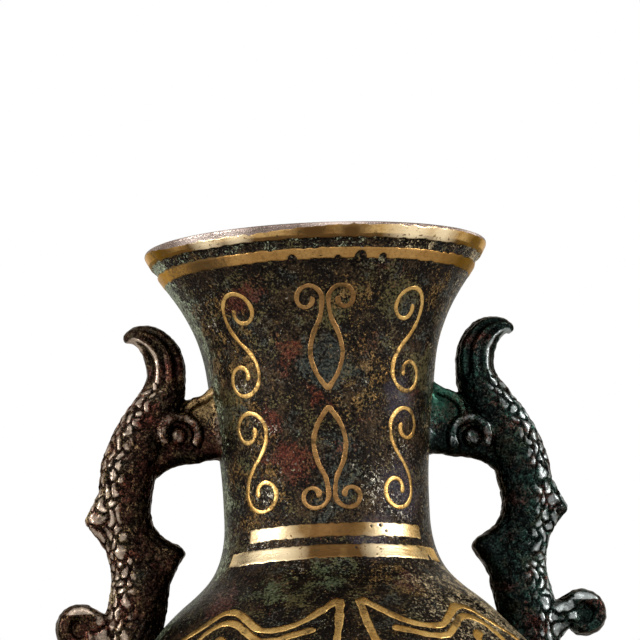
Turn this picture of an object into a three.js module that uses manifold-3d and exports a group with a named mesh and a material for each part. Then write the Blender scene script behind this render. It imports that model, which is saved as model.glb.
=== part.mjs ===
// A cast bronze vase in the archaic Chinese manner, with two beast handles and gold inlay.
// Millimetres, +Z up, origin on the standing plane under the vase's axis, the front towards -Y.
// The wall is a hollow casting, the foot ring and base plate close it, the handles are cast apart
// and let into it with tenons, and the gold is strip and wire let in or laid on the bronze.

import * as THREE from 'three';
import { mergeVertices } from 'three/addons/utils/BufferGeometryUtils.js';
import Module from 'manifold-3d';

// Heights of the vase, from the standing plane.
const HEIGHT = 368;
const FOOT_HEIGHT = 37;
const BELLY_HEIGHT = 146;

// Radii of the outer wall, and how far below the lip each of them lies.
const MOUTH_RADIUS = 65;
const FLARE_RADIUS = 56.3;
const FLARE_DROP = 15;
const THROAT_RADIUS = 43.6;
const THROAT_DROP = 46;
const WAIST_RADIUS = 39;
const WAIST_DROP = 96.4;
const COLLAR_RADIUS = 43.5;
const COLLAR_DROP = 123.3;
const SWEEP_RADIUS = 54.5;
const SWEEP_DROP = 134.8;
const SHOULDER_RADIUS = 72.6;
const SHOULDER_DROP = 152.7;
const BELLY_RADIUS = 101;
const FOOT_NECK_RADIUS = 53;

// Thickness of the casting, which thins towards the lip.
const WALL = 4;
const LIP_WALL = 2.4;
const LIP_TAPER = 60;

// Foot ring and the plate let into it.
const FOOT_RADIUS = 65;
const PLINTH_HEIGHT = 10;
const PLINTH_STEP = 2.6;
const FOOT_WALL = 6;
const BASE_PLATE_THICKNESS = 3;
const BASE_PLATE_REBATE = 2.8;
const LEDGE_WIDTH = 4;

// Clearances: between cast pieces, and round each piece of gold.
const SEAT_GAP = 0.3;
const INLAY_GAP = 0.15;

// Gold bands. The depth is how far they are let in, the rise how far they stand proud.
const BAND_DEPTH = 0.9;
const BAND_RISE = 0.15;
const RIM_BAND_WIDTH = 5.1;
const RIM_BAND_DROP = 0.7;
const MOUTH_BAND_WIDTH = 4.1;
const MOUTH_BAND_DROP = 8.9;
const UPPER_COLLAR_WIDTH = 5.7;
const UPPER_COLLAR_DROP = 109.7;
const UPPER_COLLAR_TURN = 54;
const LOWER_COLLAR_WIDTH = 5.8;
const LOWER_COLLAR_DROP = 117.9;
const LOWER_COLLAR_TURN = 67;
const FOOT_BAND_WIDTH = 4;
const FOOT_BAND_HEIGHT = 3;

// Gold wire scrolls of the neck.
const NECK_WIRE = 1.7;
const WIRE_THICKNESS = 0.6;
const WIRE_LIFT = 0.2;
const NECK_SCROLL_WIDTH = 21;
const NECK_SCROLL_HEIGHT = 40;
const NECK_TOP_ROW_DROP = 41;
const NECK_ROW_PITCH = 44;
const NECK_COLUMN_PITCH = 43.5;
const NECK_COLUMN_SHIFT = -3.2;

// Gold wire scrolls of the shoulder and belly.
const SHOULDER_WIRE = 2.1;
const SCROLL_TOP_DROP = 140.8;
const SCROLL_DEPTH = 64;
const SCROLL_TURN = 66;

// Handles: where they stand and how big they are. The reach runs outward from the crest's back.
const HANDLE_BACK_RADIUS = 51.5;
const HANDLE_REACH = 40.7;
const CREST_DROP = 28;
const HANDLE_LENGTH = 125;
const HANDLE_WIDTH = 21;
const HANDLE_THICKNESS = 18;
const CREST_FLUTE = 0.28;
const SPIKE_DROP = 101.5;
const SPIKE_ROOT = 20;
const LOBE_RADIUS = 54.9;
const LOBE_DROP = 115.6;
const LOBE_ROOT = 28;
const STRUT_TOP_DROP = 55;
const STRUT_HEIGHT = 26;
const STRUT_THICKNESS = 12;
const STRUT_BEVEL = 2;
const VOLUTE_RADIUS = 56.4;
const VOLUTE_DROP = 73;
const VOLUTE_SIZE = 7.8;
const VOLUTE_WIRE = 2;
const CURL_RADIUS = 95.7;
const CURL_DROP = 143.2;
const CURL_SIZE = 9.8;
const CURL_THICKNESS = 15;
const FOOT_TENON_RADIUS = 74;
const TENON_WIDTH = 7;
const TENON_HEIGHT = 10;
const TENON_DEPTH = 2.2;
const TENON_SHANK = 6;

// Facets round the vase, and round a handle's section.
const TURNS = 36;
const HANDLE_SIDES = 16;

const wasm = await Module();
wasm.setup();

const DEG = Math.PI / 180;

// Width of a neck scroll's drawing in shares of its height.
const NECK_SCROLL_SPREAD = 0.52;

// Keys of the outer wall: height, radius and slope dr/dz, from the foot neck up to the lip.
const wallKeys = [
  { z: FOOT_HEIGHT, r: FOOT_NECK_RADIUS, slope: 0.75 },
  { z: BELLY_HEIGHT, r: BELLY_RADIUS, slope: 0 },
  { z: HEIGHT - SHOULDER_DROP, r: SHOULDER_RADIUS, slope: -1 },
  { z: HEIGHT - SWEEP_DROP, r: SWEEP_RADIUS, slope: -1.28 },
  { z: HEIGHT - COLLAR_DROP, r: COLLAR_RADIUS, slope: -0.56 },
  { z: HEIGHT - WAIST_DROP, r: WAIST_RADIUS, slope: 0 },
  { z: HEIGHT - THROAT_DROP, r: THROAT_RADIUS, slope: 0.12 },
  { z: HEIGHT - FLARE_DROP, r: FLARE_RADIUS, slope: 0.7 },
  { z: HEIGHT, r: MOUTH_RADIUS, slope: 0.42 },
];

// Outer radius of the wall at a height, as a smooth curve through the keys.
function wallRadius(z) {
  const last = wallKeys.length - 2;
  let i = 0;
  while (i < last && z > wallKeys[i + 1].z) i += 1;
  const a = wallKeys[i];
  const b = wallKeys[i + 1];
  const h = b.z - a.z;
  const t = THREE.MathUtils.clamp((z - a.z) / h, 0, 1);
  const rise = (3 - 2 * t) * t * t;
  return a.r + (b.r - a.r) * rise + h * t * (1 - t) * (a.slope * (1 - t) - b.slope * t);
}

function wallSlope(z) {
  const step = 0.05;
  const top = Math.min(z + step, HEIGHT);
  const bottom = Math.max(z - step, FOOT_HEIGHT);
  return (wallRadius(top) - wallRadius(bottom)) / (top - bottom);
}

// A point that stands off the wall by lift: turn in degrees from the front, drop below the lip.
function onWall(turn, drop, lift) {
  const z = HEIGHT - drop;
  const slope = wallSlope(z);
  const across = 1 / Math.hypot(1, slope);
  const r = wallRadius(z) + lift * across;
  const angle = turn * DEG;
  return new THREE.Vector3(r * Math.sin(angle), -r * Math.cos(angle), z - lift * slope * across);
}

// Heights of the wall's facets: closer together where the outline bends most.
function wallHeights(steps) {
  const heights = [];
  steps.forEach((count, i) => {
    for (let k = 0; k < count; k += 1) {
      heights.push(THREE.MathUtils.lerp(wallKeys[i].z, wallKeys[i + 1].z, k / count));
    }
  });
  heights.push(HEIGHT);
  return heights;
}

// The wall's outline in radius and height, moved out by lift.
function wallLine(heights, lift) {
  return heights.map((z) => {
    const slope = wallSlope(z);
    const across = 1 / Math.hypot(1, slope);
    return new THREE.Vector2(wallRadius(z) + lift * across, z - lift * slope * across);
  });
}

// A closed mesh as a solid, with its faces turned out.
function toSolid(geometry) {
  const bare = geometry.index ? geometry.toNonIndexed() : geometry.clone();
  bare.deleteAttribute('normal');
  bare.deleteAttribute('uv');
  const merged = mergeVertices(bare, 1e-4);
  const points = merged.attributes.position.array;
  const index = merged.index.array;
  const kept = [];
  const a = new THREE.Vector3();
  const b = new THREE.Vector3();
  const c = new THREE.Vector3();
  let volume = 0;
  for (let i = 0; i < index.length; i += 3) {
    const [p, q, s] = [index[i], index[i + 1], index[i + 2]];
    if (p !== q && q !== s && s !== p) {
      kept.push(p, q, s);
      a.fromArray(points, p * 3);
      b.fromArray(points, q * 3);
      c.fromArray(points, s * 3);
      volume += a.dot(b.cross(c));
    }
  }
  if (volume < 0) kept.reverse();
  const mesh = new wasm.Mesh({
    numProp: 3,
    vertProperties: Float32Array.from(points),
    triVerts: Uint32Array.from(kept),
  });
  return new wasm.Manifold(mesh);
}

function toGeometry(solid) {
  const mesh = solid.getMesh();
  const geometry = new THREE.BufferGeometry();
  geometry.setAttribute('position', new THREE.BufferAttribute(Float32Array.from(mesh.vertProperties), 3));
  geometry.setIndex(new THREE.BufferAttribute(Uint32Array.from(mesh.triVerts), 1));
  geometry.computeVertexNormals();
  return geometry;
}

// A solid of revolution about Z from a closed outline of radius and height.
function turned(outline) {
  const geometry = new THREE.LatheGeometry([...outline, outline[0].clone()], TURNS);
  geometry.rotateX(Math.PI / 2);
  return toSolid(geometry);
}

// A skin through rings of points, closed at both ends by a fan.
function lofted(rings) {
  const sides = rings[0].length;
  const points = rings.flat();
  const index = [];
  for (let i = 0; i < rings.length - 1; i += 1) {
    for (let k = 0; k < sides; k += 1) {
      const next = (k + 1) % sides;
      const low = i * sides;
      const high = low + sides;
      index.push(low + k, low + next, high + next, low + k, high + next, high + k);
    }
  }
  const end = (rings.length - 1) * sides;
  for (let k = 1; k < sides - 1; k += 1) {
    index.push(0, k + 1, k, end, end + k, end + k + 1);
  }
  const geometry = new THREE.BufferGeometry().setFromPoints(points);
  geometry.setIndex(index);
  return toSolid(geometry);
}

// Wall, foot and base.

// A groove in the wall's outline for a gold band, from its lower edge to its upper one.
function groove(drop, width) {
  const low = HEIGHT - drop - width - INLAY_GAP;
  const high = HEIGHT - drop + INLAY_GAP;
  const floor = wallLine([low, high], -BAND_DEPTH - INLAY_GAP);
  const edges = wallLine([low, high], 0);
  return [edges[0], floor[0], floor[1], edges[1]];
}

const heights = wallHeights([4, 4, 2, 2, 3, 3, 4, 1]);
const bandsBottom = HEIGHT - MOUTH_BAND_DROP - MOUTH_BAND_WIDTH - 1;
const outerLine = [
  ...wallLine(heights.filter((z) => z < bandsBottom), 0),
  ...groove(MOUTH_BAND_DROP, MOUTH_BAND_WIDTH),
  ...groove(RIM_BAND_DROP, RIM_BAND_WIDTH),
  new THREE.Vector2(MOUTH_RADIUS, HEIGHT),
];
const innerLine = wallHeights([3, 3, 1, 1, 1, 1, 1, 1]).map((z) => {
  const nearLip = Math.max(0, 1 - (HEIGHT - z) / LIP_TAPER);
  const wall = THREE.MathUtils.lerp(WALL, LIP_WALL, nearLip);
  return new THREE.Vector2(wallRadius(z) - wall * Math.hypot(1, wallSlope(z)), z);
});
let body = turned([...outerLine, ...innerLine.reverse()]);

const footTop = FOOT_HEIGHT - SEAT_GAP;
const plateRadius = FOOT_NECK_RADIUS - BASE_PLATE_REBATE;
const ledgeHeight = footTop - BASE_PLATE_THICKNESS - SEAT_GAP;
const plinthTop = FOOT_RADIUS - PLINTH_STEP;
const footFlare = new THREE.CubicBezierCurve(
  new THREE.Vector2(plinthTop, PLINTH_HEIGHT),
  new THREE.Vector2(plinthTop - PLINTH_STEP, PLINTH_HEIGHT * 1.8),
  new THREE.Vector2(FOOT_NECK_RADIUS, footTop - PLINTH_HEIGHT),
  new THREE.Vector2(FOOT_NECK_RADIUS, footTop),
).getPoints(3);
const footGrooveRadius = FOOT_RADIUS - BAND_DEPTH - INLAY_GAP;
const footGrooveBottom = FOOT_BAND_HEIGHT - INLAY_GAP;
const footGrooveTop = FOOT_BAND_HEIGHT + FOOT_BAND_WIDTH + INLAY_GAP;
const footRing = turned([
  new THREE.Vector2(FOOT_RADIUS - FOOT_WALL, 0),
  new THREE.Vector2(FOOT_RADIUS, 0),
  new THREE.Vector2(FOOT_RADIUS, footGrooveBottom),
  new THREE.Vector2(footGrooveRadius, footGrooveBottom),
  new THREE.Vector2(footGrooveRadius, footGrooveTop),
  new THREE.Vector2(FOOT_RADIUS, footGrooveTop),
  new THREE.Vector2(FOOT_RADIUS, PLINTH_HEIGHT - PLINTH_STEP / 2),
  ...footFlare,
  new THREE.Vector2(plateRadius + SEAT_GAP, footTop),
  new THREE.Vector2(plateRadius + SEAT_GAP, ledgeHeight),
  new THREE.Vector2(plateRadius - LEDGE_WIDTH, ledgeHeight),
  new THREE.Vector2(plateRadius - LEDGE_WIDTH, ledgeHeight - BASE_PLATE_THICKNESS),
]);
const basePlate = turned([
  new THREE.Vector2(0, ledgeHeight + SEAT_GAP),
  new THREE.Vector2(plateRadius, ledgeHeight + SEAT_GAP),
  new THREE.Vector2(plateRadius, footTop),
  new THREE.Vector2(0, footTop),
]);

// Gold bands, let into the grooves.

// A ring that follows the wall from a drop downward, between two depths measured off the wall.
function wallRing(drop, width, inside, outside) {
  const rows = [HEIGHT - drop - width, HEIGHT - drop];
  return turned([...wallLine(rows, outside), ...wallLine(rows, inside).reverse()]);
}

function bandOf(drop, width) {
  return wallRing(drop, width, -BAND_DEPTH, BAND_RISE);
}

const rimBand = bandOf(RIM_BAND_DROP, RIM_BAND_WIDTH);
const mouthBand = bandOf(MOUTH_BAND_DROP, MOUTH_BAND_WIDTH);
const footBand = turned([
  new THREE.Vector2(FOOT_RADIUS - BAND_DEPTH, FOOT_BAND_HEIGHT),
  new THREE.Vector2(FOOT_RADIUS + BAND_RISE, FOOT_BAND_HEIGHT),
  new THREE.Vector2(FOOT_RADIUS + BAND_RISE, FOOT_BAND_HEIGHT + FOOT_BAND_WIDTH),
  new THREE.Vector2(FOOT_RADIUS - BAND_DEPTH, FOOT_BAND_HEIGHT + FOOT_BAND_WIDTH),
]);

// Collar bands: strips of such a ring that stop short of the handles.

// The part of the space within turn degrees of the front.
function wedge(turn) {
  const far = BELLY_RADIUS * 3;
  const shape = new THREE.Shape([
    new THREE.Vector2(0, 0),
    ...[-1, -0.5, 0, 0.5, 1].map((t) => {
      const angle = turn * t * DEG;
      return new THREE.Vector2(far * Math.sin(angle), -far * Math.cos(angle));
    }),
  ]);
  return toSolid(new THREE.ExtrudeGeometry(shape, { depth: HEIGHT, bevelEnabled: false }));
}

const collars = [
  { name: 'collar_upper', drop: UPPER_COLLAR_DROP, width: UPPER_COLLAR_WIDTH, turn: UPPER_COLLAR_TURN },
  { name: 'collar_lower', drop: LOWER_COLLAR_DROP, width: LOWER_COLLAR_WIDTH, turn: LOWER_COLLAR_TURN },
];
for (const collar of collars) {
  const endGap = INLAY_GAP / COLLAR_RADIUS / DEG;
  const channel = wallRing(
    collar.drop - INLAY_GAP,
    collar.width + 2 * INLAY_GAP,
    -BAND_DEPTH - INLAY_GAP,
    WALL,
  );
  const seat = channel.intersect(wedge(collar.turn + endGap));
  collar.front = bandOf(collar.drop, collar.width).intersect(wedge(collar.turn));
  collar.back = collar.front.rotate([0, 0, 180]);
  body = body.subtract(seat).subtract(seat.rotate([0, 0, 180]));
}

// Gold wire, hammered flat on the wall along a path of turn and drop.

function wire(path, width) {
  const rings = path.map((point, i) => {
    const before = path[Math.max(i - 1, 0)];
    const after = path[Math.min(i + 1, path.length - 1)];
    const z = HEIGHT - point.y;
    const r = wallRadius(z);
    const steep = Math.hypot(1, wallSlope(z));
    const along = new THREE.Vector2((after.x - before.x) * DEG * r, (after.y - before.y) * steep);
    along.normalize();
    const ends = Math.min(i, path.length - 1 - i);
    const half = width * (ends === 0 ? 0.3 : 0.5);
    const side = new THREE.Vector2((-along.y * half) / r / DEG, (along.x * half) / steep);
    const left = point.clone().sub(side);
    const right = point.clone().add(side);
    return [
      onWall(left.x, left.y, WIRE_LIFT),
      onWall(right.x, right.y, WIRE_LIFT),
      onWall(right.x, right.y, WIRE_LIFT + WIRE_THICKNESS),
      onWall(left.x, left.y, WIRE_LIFT + WIRE_THICKNESS),
    ];
  });
  return lofted(rings);
}

// A coil on a flat sheet, from its eye outward: middle, outer radius and the angle it ends at.
function coil(middle, radius, endAngle, hand) {
  const steps = 7;
  const sweep = 390;
  const path = [];
  for (let k = 0; k <= steps; k += 1) {
    const t = k / steps;
    const angle = (endAngle - hand * sweep * (1 - t)) * DEG;
    const reach = radius * (0.3 + 0.7 * t);
    path.push(new THREE.Vector2(
      middle.x + reach * Math.cos(angle),
      middle.y + reach * Math.sin(angle),
    ));
  }
  return path;
}

// An S scroll that coils at both ends, in fractions of its height.
function sideScroll() {
  const top = coil(new THREE.Vector2(0.06, 0.3), 0.2, 180, 1);
  const neck = [new THREE.Vector2(-0.12, 0.17), new THREE.Vector2(-0.045, 0.05)];
  const half = [...top, ...neck];
  return [[...half, ...half.map((p) => new THREE.Vector2(-p.x, -p.y)).reverse()]];
}

// A lyre of two arms that meet at the foot and coil outward at the top.
function middleScroll() {
  const arm = [
    ...coil(new THREE.Vector2(0.17, 0.36), 0.14, 180, 1),
    new THREE.Vector2(0.05, 0.2),
    new THREE.Vector2(0.12, 0.04),
    new THREE.Vector2(0.15, -0.14),
    new THREE.Vector2(0.1, -0.32),
    new THREE.Vector2(-0.01, -0.48),
  ];
  return [arm, arm.map((p) => new THREE.Vector2(-p.x, p.y))];
}

// Wires on the neck about a turn and drop, mirrored by hand and flipped by up.
function neckScrollAt(paths, turn, drop, hand, up) {
  const wires = paths.map((path) => wire(path.map((p) => {
    const y = drop - up * p.y * NECK_SCROLL_HEIGHT;
    const x = (hand * p.x * NECK_SCROLL_WIDTH) / NECK_SCROLL_SPREAD;
    return new THREE.Vector2(turn + x / wallRadius(HEIGHT - y) / DEG, y);
  }), NECK_WIRE));
  return wires.reduce((whole, part) => whole.add(part));
}

// A smooth path through points given as shares of the scroll's turn and depth.
function shoulderPath(points, steps, hand) {
  const curve = new THREE.SplineCurve(points.map(([x, y]) => new THREE.Vector2(x, y)));
  return curve.getPoints(steps).map((p) => (
    new THREE.Vector2(hand * p.x * SCROLL_TURN, SCROLL_TOP_DROP + p.y * SCROLL_DEPTH)
  ));
}

const crestLine = [
  [0.05, 0], [0.14, 0.07], [0.24, 0.144], [0.34, 0.18], [0.43, 0.172], [0.52, 0.1], [0.6, 0.048],
  [0.69, 0.05], [0.78, 0.12], [0.9, 0.22], [0.97, 0.38], [0.9, 0.6], [0.74, 0.72], [0.6, 0.84],
  [0.64, 0.97], [0.78, 0.97], [0.78, 0.86],
];
const fallLine = [
  [0.05, 0], [0.065, 0.16], [0.09, 0.34], [0.1, 0.54], [0.08, 0.74], [0.11, 0.9], [0.22, 0.97],
  [0.31, 0.88], [0.25, 0.79], [0.19, 0.85],
];
const browLine = [
  [0.17, 0.19], [0.26, 0.22], [0.34, 0.245], [0.42, 0.24], [0.5, 0.175], [0.58, 0.118],
  [0.66, 0.115], [0.73, 0.17], [0.75, 0.27], [0.69, 0.34], [0.61, 0.32], [0.58, 0.25], [0.64, 0.2],
];
const jawLine = [
  [0.18, 0.36], [0.2, 0.54], [0.32, 0.7], [0.46, 0.68], [0.51, 0.56], [0.42, 0.47], [0.34, 0.53],
  [0.39, 0.6],
];

// Handles.

// Rows down the handle's middle: share of the reach, share of the length, width, thickness.
const spine = [
  [0.553, 0.048, 0.1, 0.33], [0.518, 0.038, 0.22, 0.47], [0.459, 0.032, 0.33, 0.6],
  [0.369, 0.038, 0.48, 0.76], [0.278, 0.058, 0.6, 0.87], [0.201, 0.099, 0.68, 0.93],
  [0.182, 0.156, 0.71, 0.96], [0.219, 0.214, 0.78, 0.98], [0.327, 0.278, 0.89, 1.02],
  [0.445, 0.344, 0.96, 1.04], [0.543, 0.416, 1, 1.04], [0.602, 0.496, 0.98, 1.02],
  [0.612, 0.576, 0.93, 1], [0.577, 0.656, 0.94, 0.98], [0.518, 0.728, 1, 0.98],
  [0.501, 0.792, 1.05, 1], [0.538, 0.856, 1.07, 1.02], [0.577, 0.92, 1.07, 1.04],
  [0.59, 0.992, 1.05, 1.07], [0.52, 1.12, 0.95, 1.1], [0.4, 1.26, 0.8, 1.1],
];

// A ring of points about a middle: along is the way the piece runs, in radius and drop.
function handleRing(middle, along, halfWidth, halfThickness, sides, flute) {
  const across = new THREE.Vector2(-along.y, along.x).normalize();
  const ring = [];
  for (let k = 0; k < sides; k += 1) {
    const angle = (k / sides) * 2 * Math.PI;
    const u = Math.sign(Math.cos(angle)) * Math.abs(Math.cos(angle)) ** 0.8;
    const fluted = Math.abs(Math.sin(angle)) > 0.8 && k % 2 === 1 ? 1 - flute : 1;
    const v = Math.sin(angle) * fluted;
    const r = middle.x + across.x * u * halfWidth;
    const drop = middle.y + across.y * u * halfWidth;
    ring.push(new THREE.Vector3(r, v * halfThickness, HEIGHT - drop));
  }
  return ring;
}

// Rings along a path of middles, with a half width, a half thickness and a flute for each.
function handleLoft(rows, sides) {
  const rings = rows.map((row, i) => {
    const before = rows[Math.max(i - 1, 0)].middle;
    const after = rows[Math.min(i + 1, rows.length - 1)].middle;
    const along = after.clone().sub(before);
    return handleRing(row.middle, along, row.width, row.thickness, sides, row.flute ?? 0);
  });
  return lofted(rings);
}

const spineCurve = new THREE.SplineCurve(spine.map(([u, v]) => new THREE.Vector2(
  HANDLE_BACK_RADIUS + u * HANDLE_REACH,
  CREST_DROP + v * HANDLE_LENGTH,
)));
const spineSizes = new THREE.SplineCurve(spine.map((row) => new THREE.Vector2(row[2], row[3])));
const spineSteps = 24;
const spineRows = [];
for (let k = 0; k <= spineSteps; k += 1) {
  const t = k / spineSteps;
  const size = spineSizes.getPoint(t);
  const fade = THREE.MathUtils.smoothstep(t, 0, 0.15) * (1 - THREE.MathUtils.smoothstep(t, 0.3, 0.5));
  spineRows.push({
    middle: spineCurve.getPoint(t),
    width: (size.x * HANDLE_WIDTH) / 2,
    thickness: (size.y * HANDLE_THICKNESS) / 2,
    flute: CREST_FLUTE * fade,
  });
}

const spikeTip = HANDLE_BACK_RADIUS + HANDLE_REACH;

// Rings of the spike and the lobe in shares of the root's width: how far back from the tip, how far
// below it, half width, half thickness.
function tipRows(tip, drop, outward, root, rows) {
  return rows.map(([back, below, width, thickness]) => ({
    middle: new THREE.Vector2(tip - outward * back * root, drop + below * root),
    width: width * root,
    thickness: thickness * root,
  }));
}

const spike = handleLoft(tipRows(spikeTip, SPIKE_DROP, 1, SPIKE_ROOT, [
  [0.7, -0.15, 0.65, 0.3], [0.36, -0.15, 0.5, 0.27], [0.25, -0.13, 0.345, 0.21],
  [0.16, -0.09, 0.225, 0.15], [0.075, -0.045, 0.105, 0.095], [0, 0, 0.02, 0.03],
]), 8);
const lobe = handleLoft(tipRows(LOBE_RADIUS, LOBE_DROP, -1, LOBE_ROOT, [
  [0.5, 0.107, 0.5, 0.286], [0.232, 0.107, 0.33, 0.271], [0.111, 0.032, 0.17, 0.214],
  [0.036, 0, 0.09, 0.143], [0, 0, 0.04, 0.079],
]), 10);

// The strut to the neck: a plate with rounded edges, from inside the neck into the handle. Its
// outline goes by shares of the handle's reach, out from the crest's back, and of its own height.
const strutMiddle = STRUT_TOP_DROP + STRUT_HEIGHT / 2;
const strutRoot = (WAIST_RADIUS - WALL - HANDLE_BACK_RADIUS) / HANDLE_REACH;
const strutShape = new THREE.Shape([
  [strutRoot, 0.08], [-0.123, 0.1], [-0.012, 0.015], [0.147, -0.308], [0.442, 0.35],
  [0.491, 1.154], [0.332, 1.115], [0.221, 0.977], [-0.074, 0.946], [strutRoot, 0.885],
].map(([out, down]) => new THREE.Vector2(
  HANDLE_BACK_RADIUS + out * HANDLE_REACH,
  -STRUT_TOP_DROP - down * STRUT_HEIGHT,
)));
const strutGeometry = new THREE.ExtrudeGeometry(strutShape, {
  depth: STRUT_THICKNESS - 2 * STRUT_BEVEL,
  bevelThickness: STRUT_BEVEL,
  bevelSize: STRUT_BEVEL,
  bevelSegments: 1,
});
strutGeometry.translate(0, 0, -STRUT_THICKNESS / 2 + STRUT_BEVEL);
strutGeometry.rotateX(Math.PI / 2);
strutGeometry.translate(0, 0, HEIGHT);
const strut = toSolid(strutGeometry);

// The volute: a cord coiled on each face of the strut, from the neck's side round to its eye.
class VolutePath extends THREE.Curve {
  constructor(face) {
    super();
    this.face = face;
  }

  getPoint(t, target = new THREE.Vector3()) {
    const angle = (205 - 470 * t) * DEG;
    const radius = VOLUTE_SIZE * (1.05 - 0.8 * t);
    return target.set(
      VOLUTE_RADIUS + radius * Math.cos(angle),
      this.face * (STRUT_THICKNESS / 2 + VOLUTE_WIRE * (0.2 + 0.7 * t)),
      HEIGHT - VOLUTE_DROP + radius * Math.sin(angle),
    );
  }
}

function voluteOn(face) {
  const cord = new THREE.Shape();
  cord.absarc(0, 0, VOLUTE_WIRE, 0, 2 * Math.PI);
  return toSolid(new THREE.ExtrudeGeometry(cord, {
    steps: 13,
    curveSegments: 3,
    bevelEnabled: false,
    extrudePath: new VolutePath(face),
  }));
}

// The curl that stands off the shoulder: it leaves the handle's outer side, goes over the top,
// down, and round under to its eye. Its root goes by shares of the curl's size and thickness.
const curlSteps = 10;
const curlRoot = [[-1.735, 0.51, 0.867, 0.48], [-0.98, 0.041, 0.653, 0.493]];
const curlRows = curlRoot.map(([out, down, width, thickness]) => ({
  middle: new THREE.Vector2(CURL_RADIUS + out * CURL_SIZE, CURL_DROP + down * CURL_SIZE),
  width: width * CURL_SIZE,
  thickness: thickness * CURL_THICKNESS,
}));
for (let k = 0; k <= curlSteps; k += 1) {
  const t = k / curlSteps;
  const angle = (130 - 400 * t) * DEG;
  const radius = CURL_SIZE * (0.64 - 0.42 * t * t);
  const thinning = 1 - 0.4 * t;
  curlRows.push({
    middle: new THREE.Vector2(
      CURL_RADIUS + radius * Math.cos(angle),
      CURL_DROP - radius * Math.sin(angle),
    ),
    width: CURL_SIZE * 0.38 * thinning,
    thickness: (CURL_THICKNESS / 2) * thinning,
  });
}
const curl = handleLoft(curlRows, 8);

// Tenons and the sockets that take them, square to the wall.
function tenon(radius, z, slope, grow) {
  const geometry = new THREE.BoxGeometry(
    TENON_DEPTH + grow + TENON_SHANK,
    TENON_WIDTH + 2 * grow,
    TENON_HEIGHT + 2 * grow,
  );
  geometry.translate((TENON_SHANK - TENON_DEPTH - grow) / 2, 0, 0);
  geometry.rotateY(Math.atan(slope));
  geometry.translate(radius, 0, z);
  return toSolid(geometry);
}

// Height on the shoulder where the wall has a given radius.
function shoulderHeight(radius) {
  let low = BELLY_HEIGHT;
  let high = HEIGHT - WAIST_DROP;
  for (let i = 0; i < 40; i += 1) {
    const middle = (low + high) / 2;
    if (wallRadius(middle) > radius) low = middle;
    else high = middle;
  }
  return (low + high) / 2;
}

const neckTenonZ = HEIGHT - strutMiddle;
const footTenonZ = shoulderHeight(FOOT_TENON_RADIUS);
const tenonPlaces = [neckTenonZ, footTenonZ];

function tenons(grow) {
  const [first, second] = tenonPlaces.map((z) => tenon(wallRadius(z), z, wallSlope(z), grow));
  return first.add(second);
}

const seatCutter = turned([
  new THREE.Vector2(0, FOOT_HEIGHT),
  ...wallLine(heights, SEAT_GAP),
  new THREE.Vector2(0, HEIGHT),
]);
const rightHandle = handleLoft(spineRows, HANDLE_SIDES)
  .add(spike)
  .add(lobe)
  .add(strut)
  .add(voluteOn(1))
  .add(voluteOn(-1))
  .add(curl)
  .subtract(seatCutter)
  .add(tenons(0));
const sockets = tenons(SEAT_GAP);
body = body.subtract(sockets).subtract(sockets.rotate([0, 0, 180]));

// Materials.

const bronze = new THREE.MeshStandardMaterial({ color: 0x2e2b22, roughness: 0.42, metalness: 0.8 });
const redBronze = new THREE.MeshStandardMaterial({ color: 0x4b2e20, roughness: 0.36, metalness: 0.8 });
const greenBronze = new THREE.MeshStandardMaterial({ color: 0x24382f, roughness: 0.38, metalness: 0.75 });
const gold = new THREE.MeshStandardMaterial({ color: 0xc8983f, roughness: 0.3, metalness: 1 });

const vase = new THREE.Group();

function place(name, solid, material, turn = 0) {
  const mesh = new THREE.Mesh(toGeometry(solid), material);
  mesh.name = name;
  mesh.rotation.z = turn * DEG;
  vase.add(mesh);
}

place('vase_body', body, bronze);
place('foot_ring', footRing, bronze);
place('base_plate', basePlate, bronze);
place('right_handle', rightHandle, greenBronze);
place('left_handle', rightHandle, redBronze, 180);
place('rim_band', rimBand, gold);
place('mouth_band', mouthBand, gold);
for (const collar of collars) {
  place(`${collar.name}_front`, collar.front, gold);
  place(`${collar.name}_back`, collar.back, gold);
}
place('foot_band', footBand, gold);

const faces = [{ name: 'front', turn: 0 }, { name: 'back', turn: 180 }];
const columns = [{ name: 'left', step: -1 }, { name: 'middle', step: 0 }, { name: 'right', step: 1 }];
const rows = [{ name: 'upper', step: 0 }, { name: 'lower', step: 1 }];
for (const face of faces) {
  for (const column of columns) {
    for (const row of rows) {
      const turn = NECK_COLUMN_SHIFT + column.step * NECK_COLUMN_PITCH;
      const drop = NECK_TOP_ROW_DROP + row.step * NECK_ROW_PITCH;
      const hand = column.step > 0 ? -1 : 1;
      const up = row.step > 0 ? -1 : 1;
      const paths = column.step === 0 ? middleScroll() : sideScroll();
      const name = `neck_scroll_${column.name}_${row.name}_${face.name}`;
      place(name, neckScrollAt(paths, turn, drop, hand, up), gold, face.turn);
    }
  }
  for (const side of [{ name: 'left', hand: -1 }, { name: 'right', hand: 1 }]) {
    const crest = wire(shoulderPath(crestLine, 23, side.hand), SHOULDER_WIRE)
      .add(wire(shoulderPath(fallLine, 12, side.hand), SHOULDER_WIRE));
    const brow = wire(shoulderPath(browLine, 17, side.hand), SHOULDER_WIRE);
    const jaw = wire(shoulderPath(jawLine, 12, side.hand), SHOULDER_WIRE);
    place(`shoulder_crest_line_${side.name}_${face.name}`, crest, gold, face.turn);
    place(`shoulder_brow_scroll_${side.name}_${face.name}`, brow, gold, face.turn);
    place(`shoulder_jaw_scroll_${side.name}_${face.name}`, jaw, gold, face.turn);
  }
}

export default vase;
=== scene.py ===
# A cast bronze vase with two beast handles and gold inlay, finished and lit for the camera.
# Shapes are worked out in millimetres in the vase's own frame and turned into metres at the end.
# A turn is an angle in degrees round the vase from its front, a drop is a depth below the lip.

import math

import bmesh
import bpy
import numpy as np
from mathutils import Matrix, Vector, noise


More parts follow.
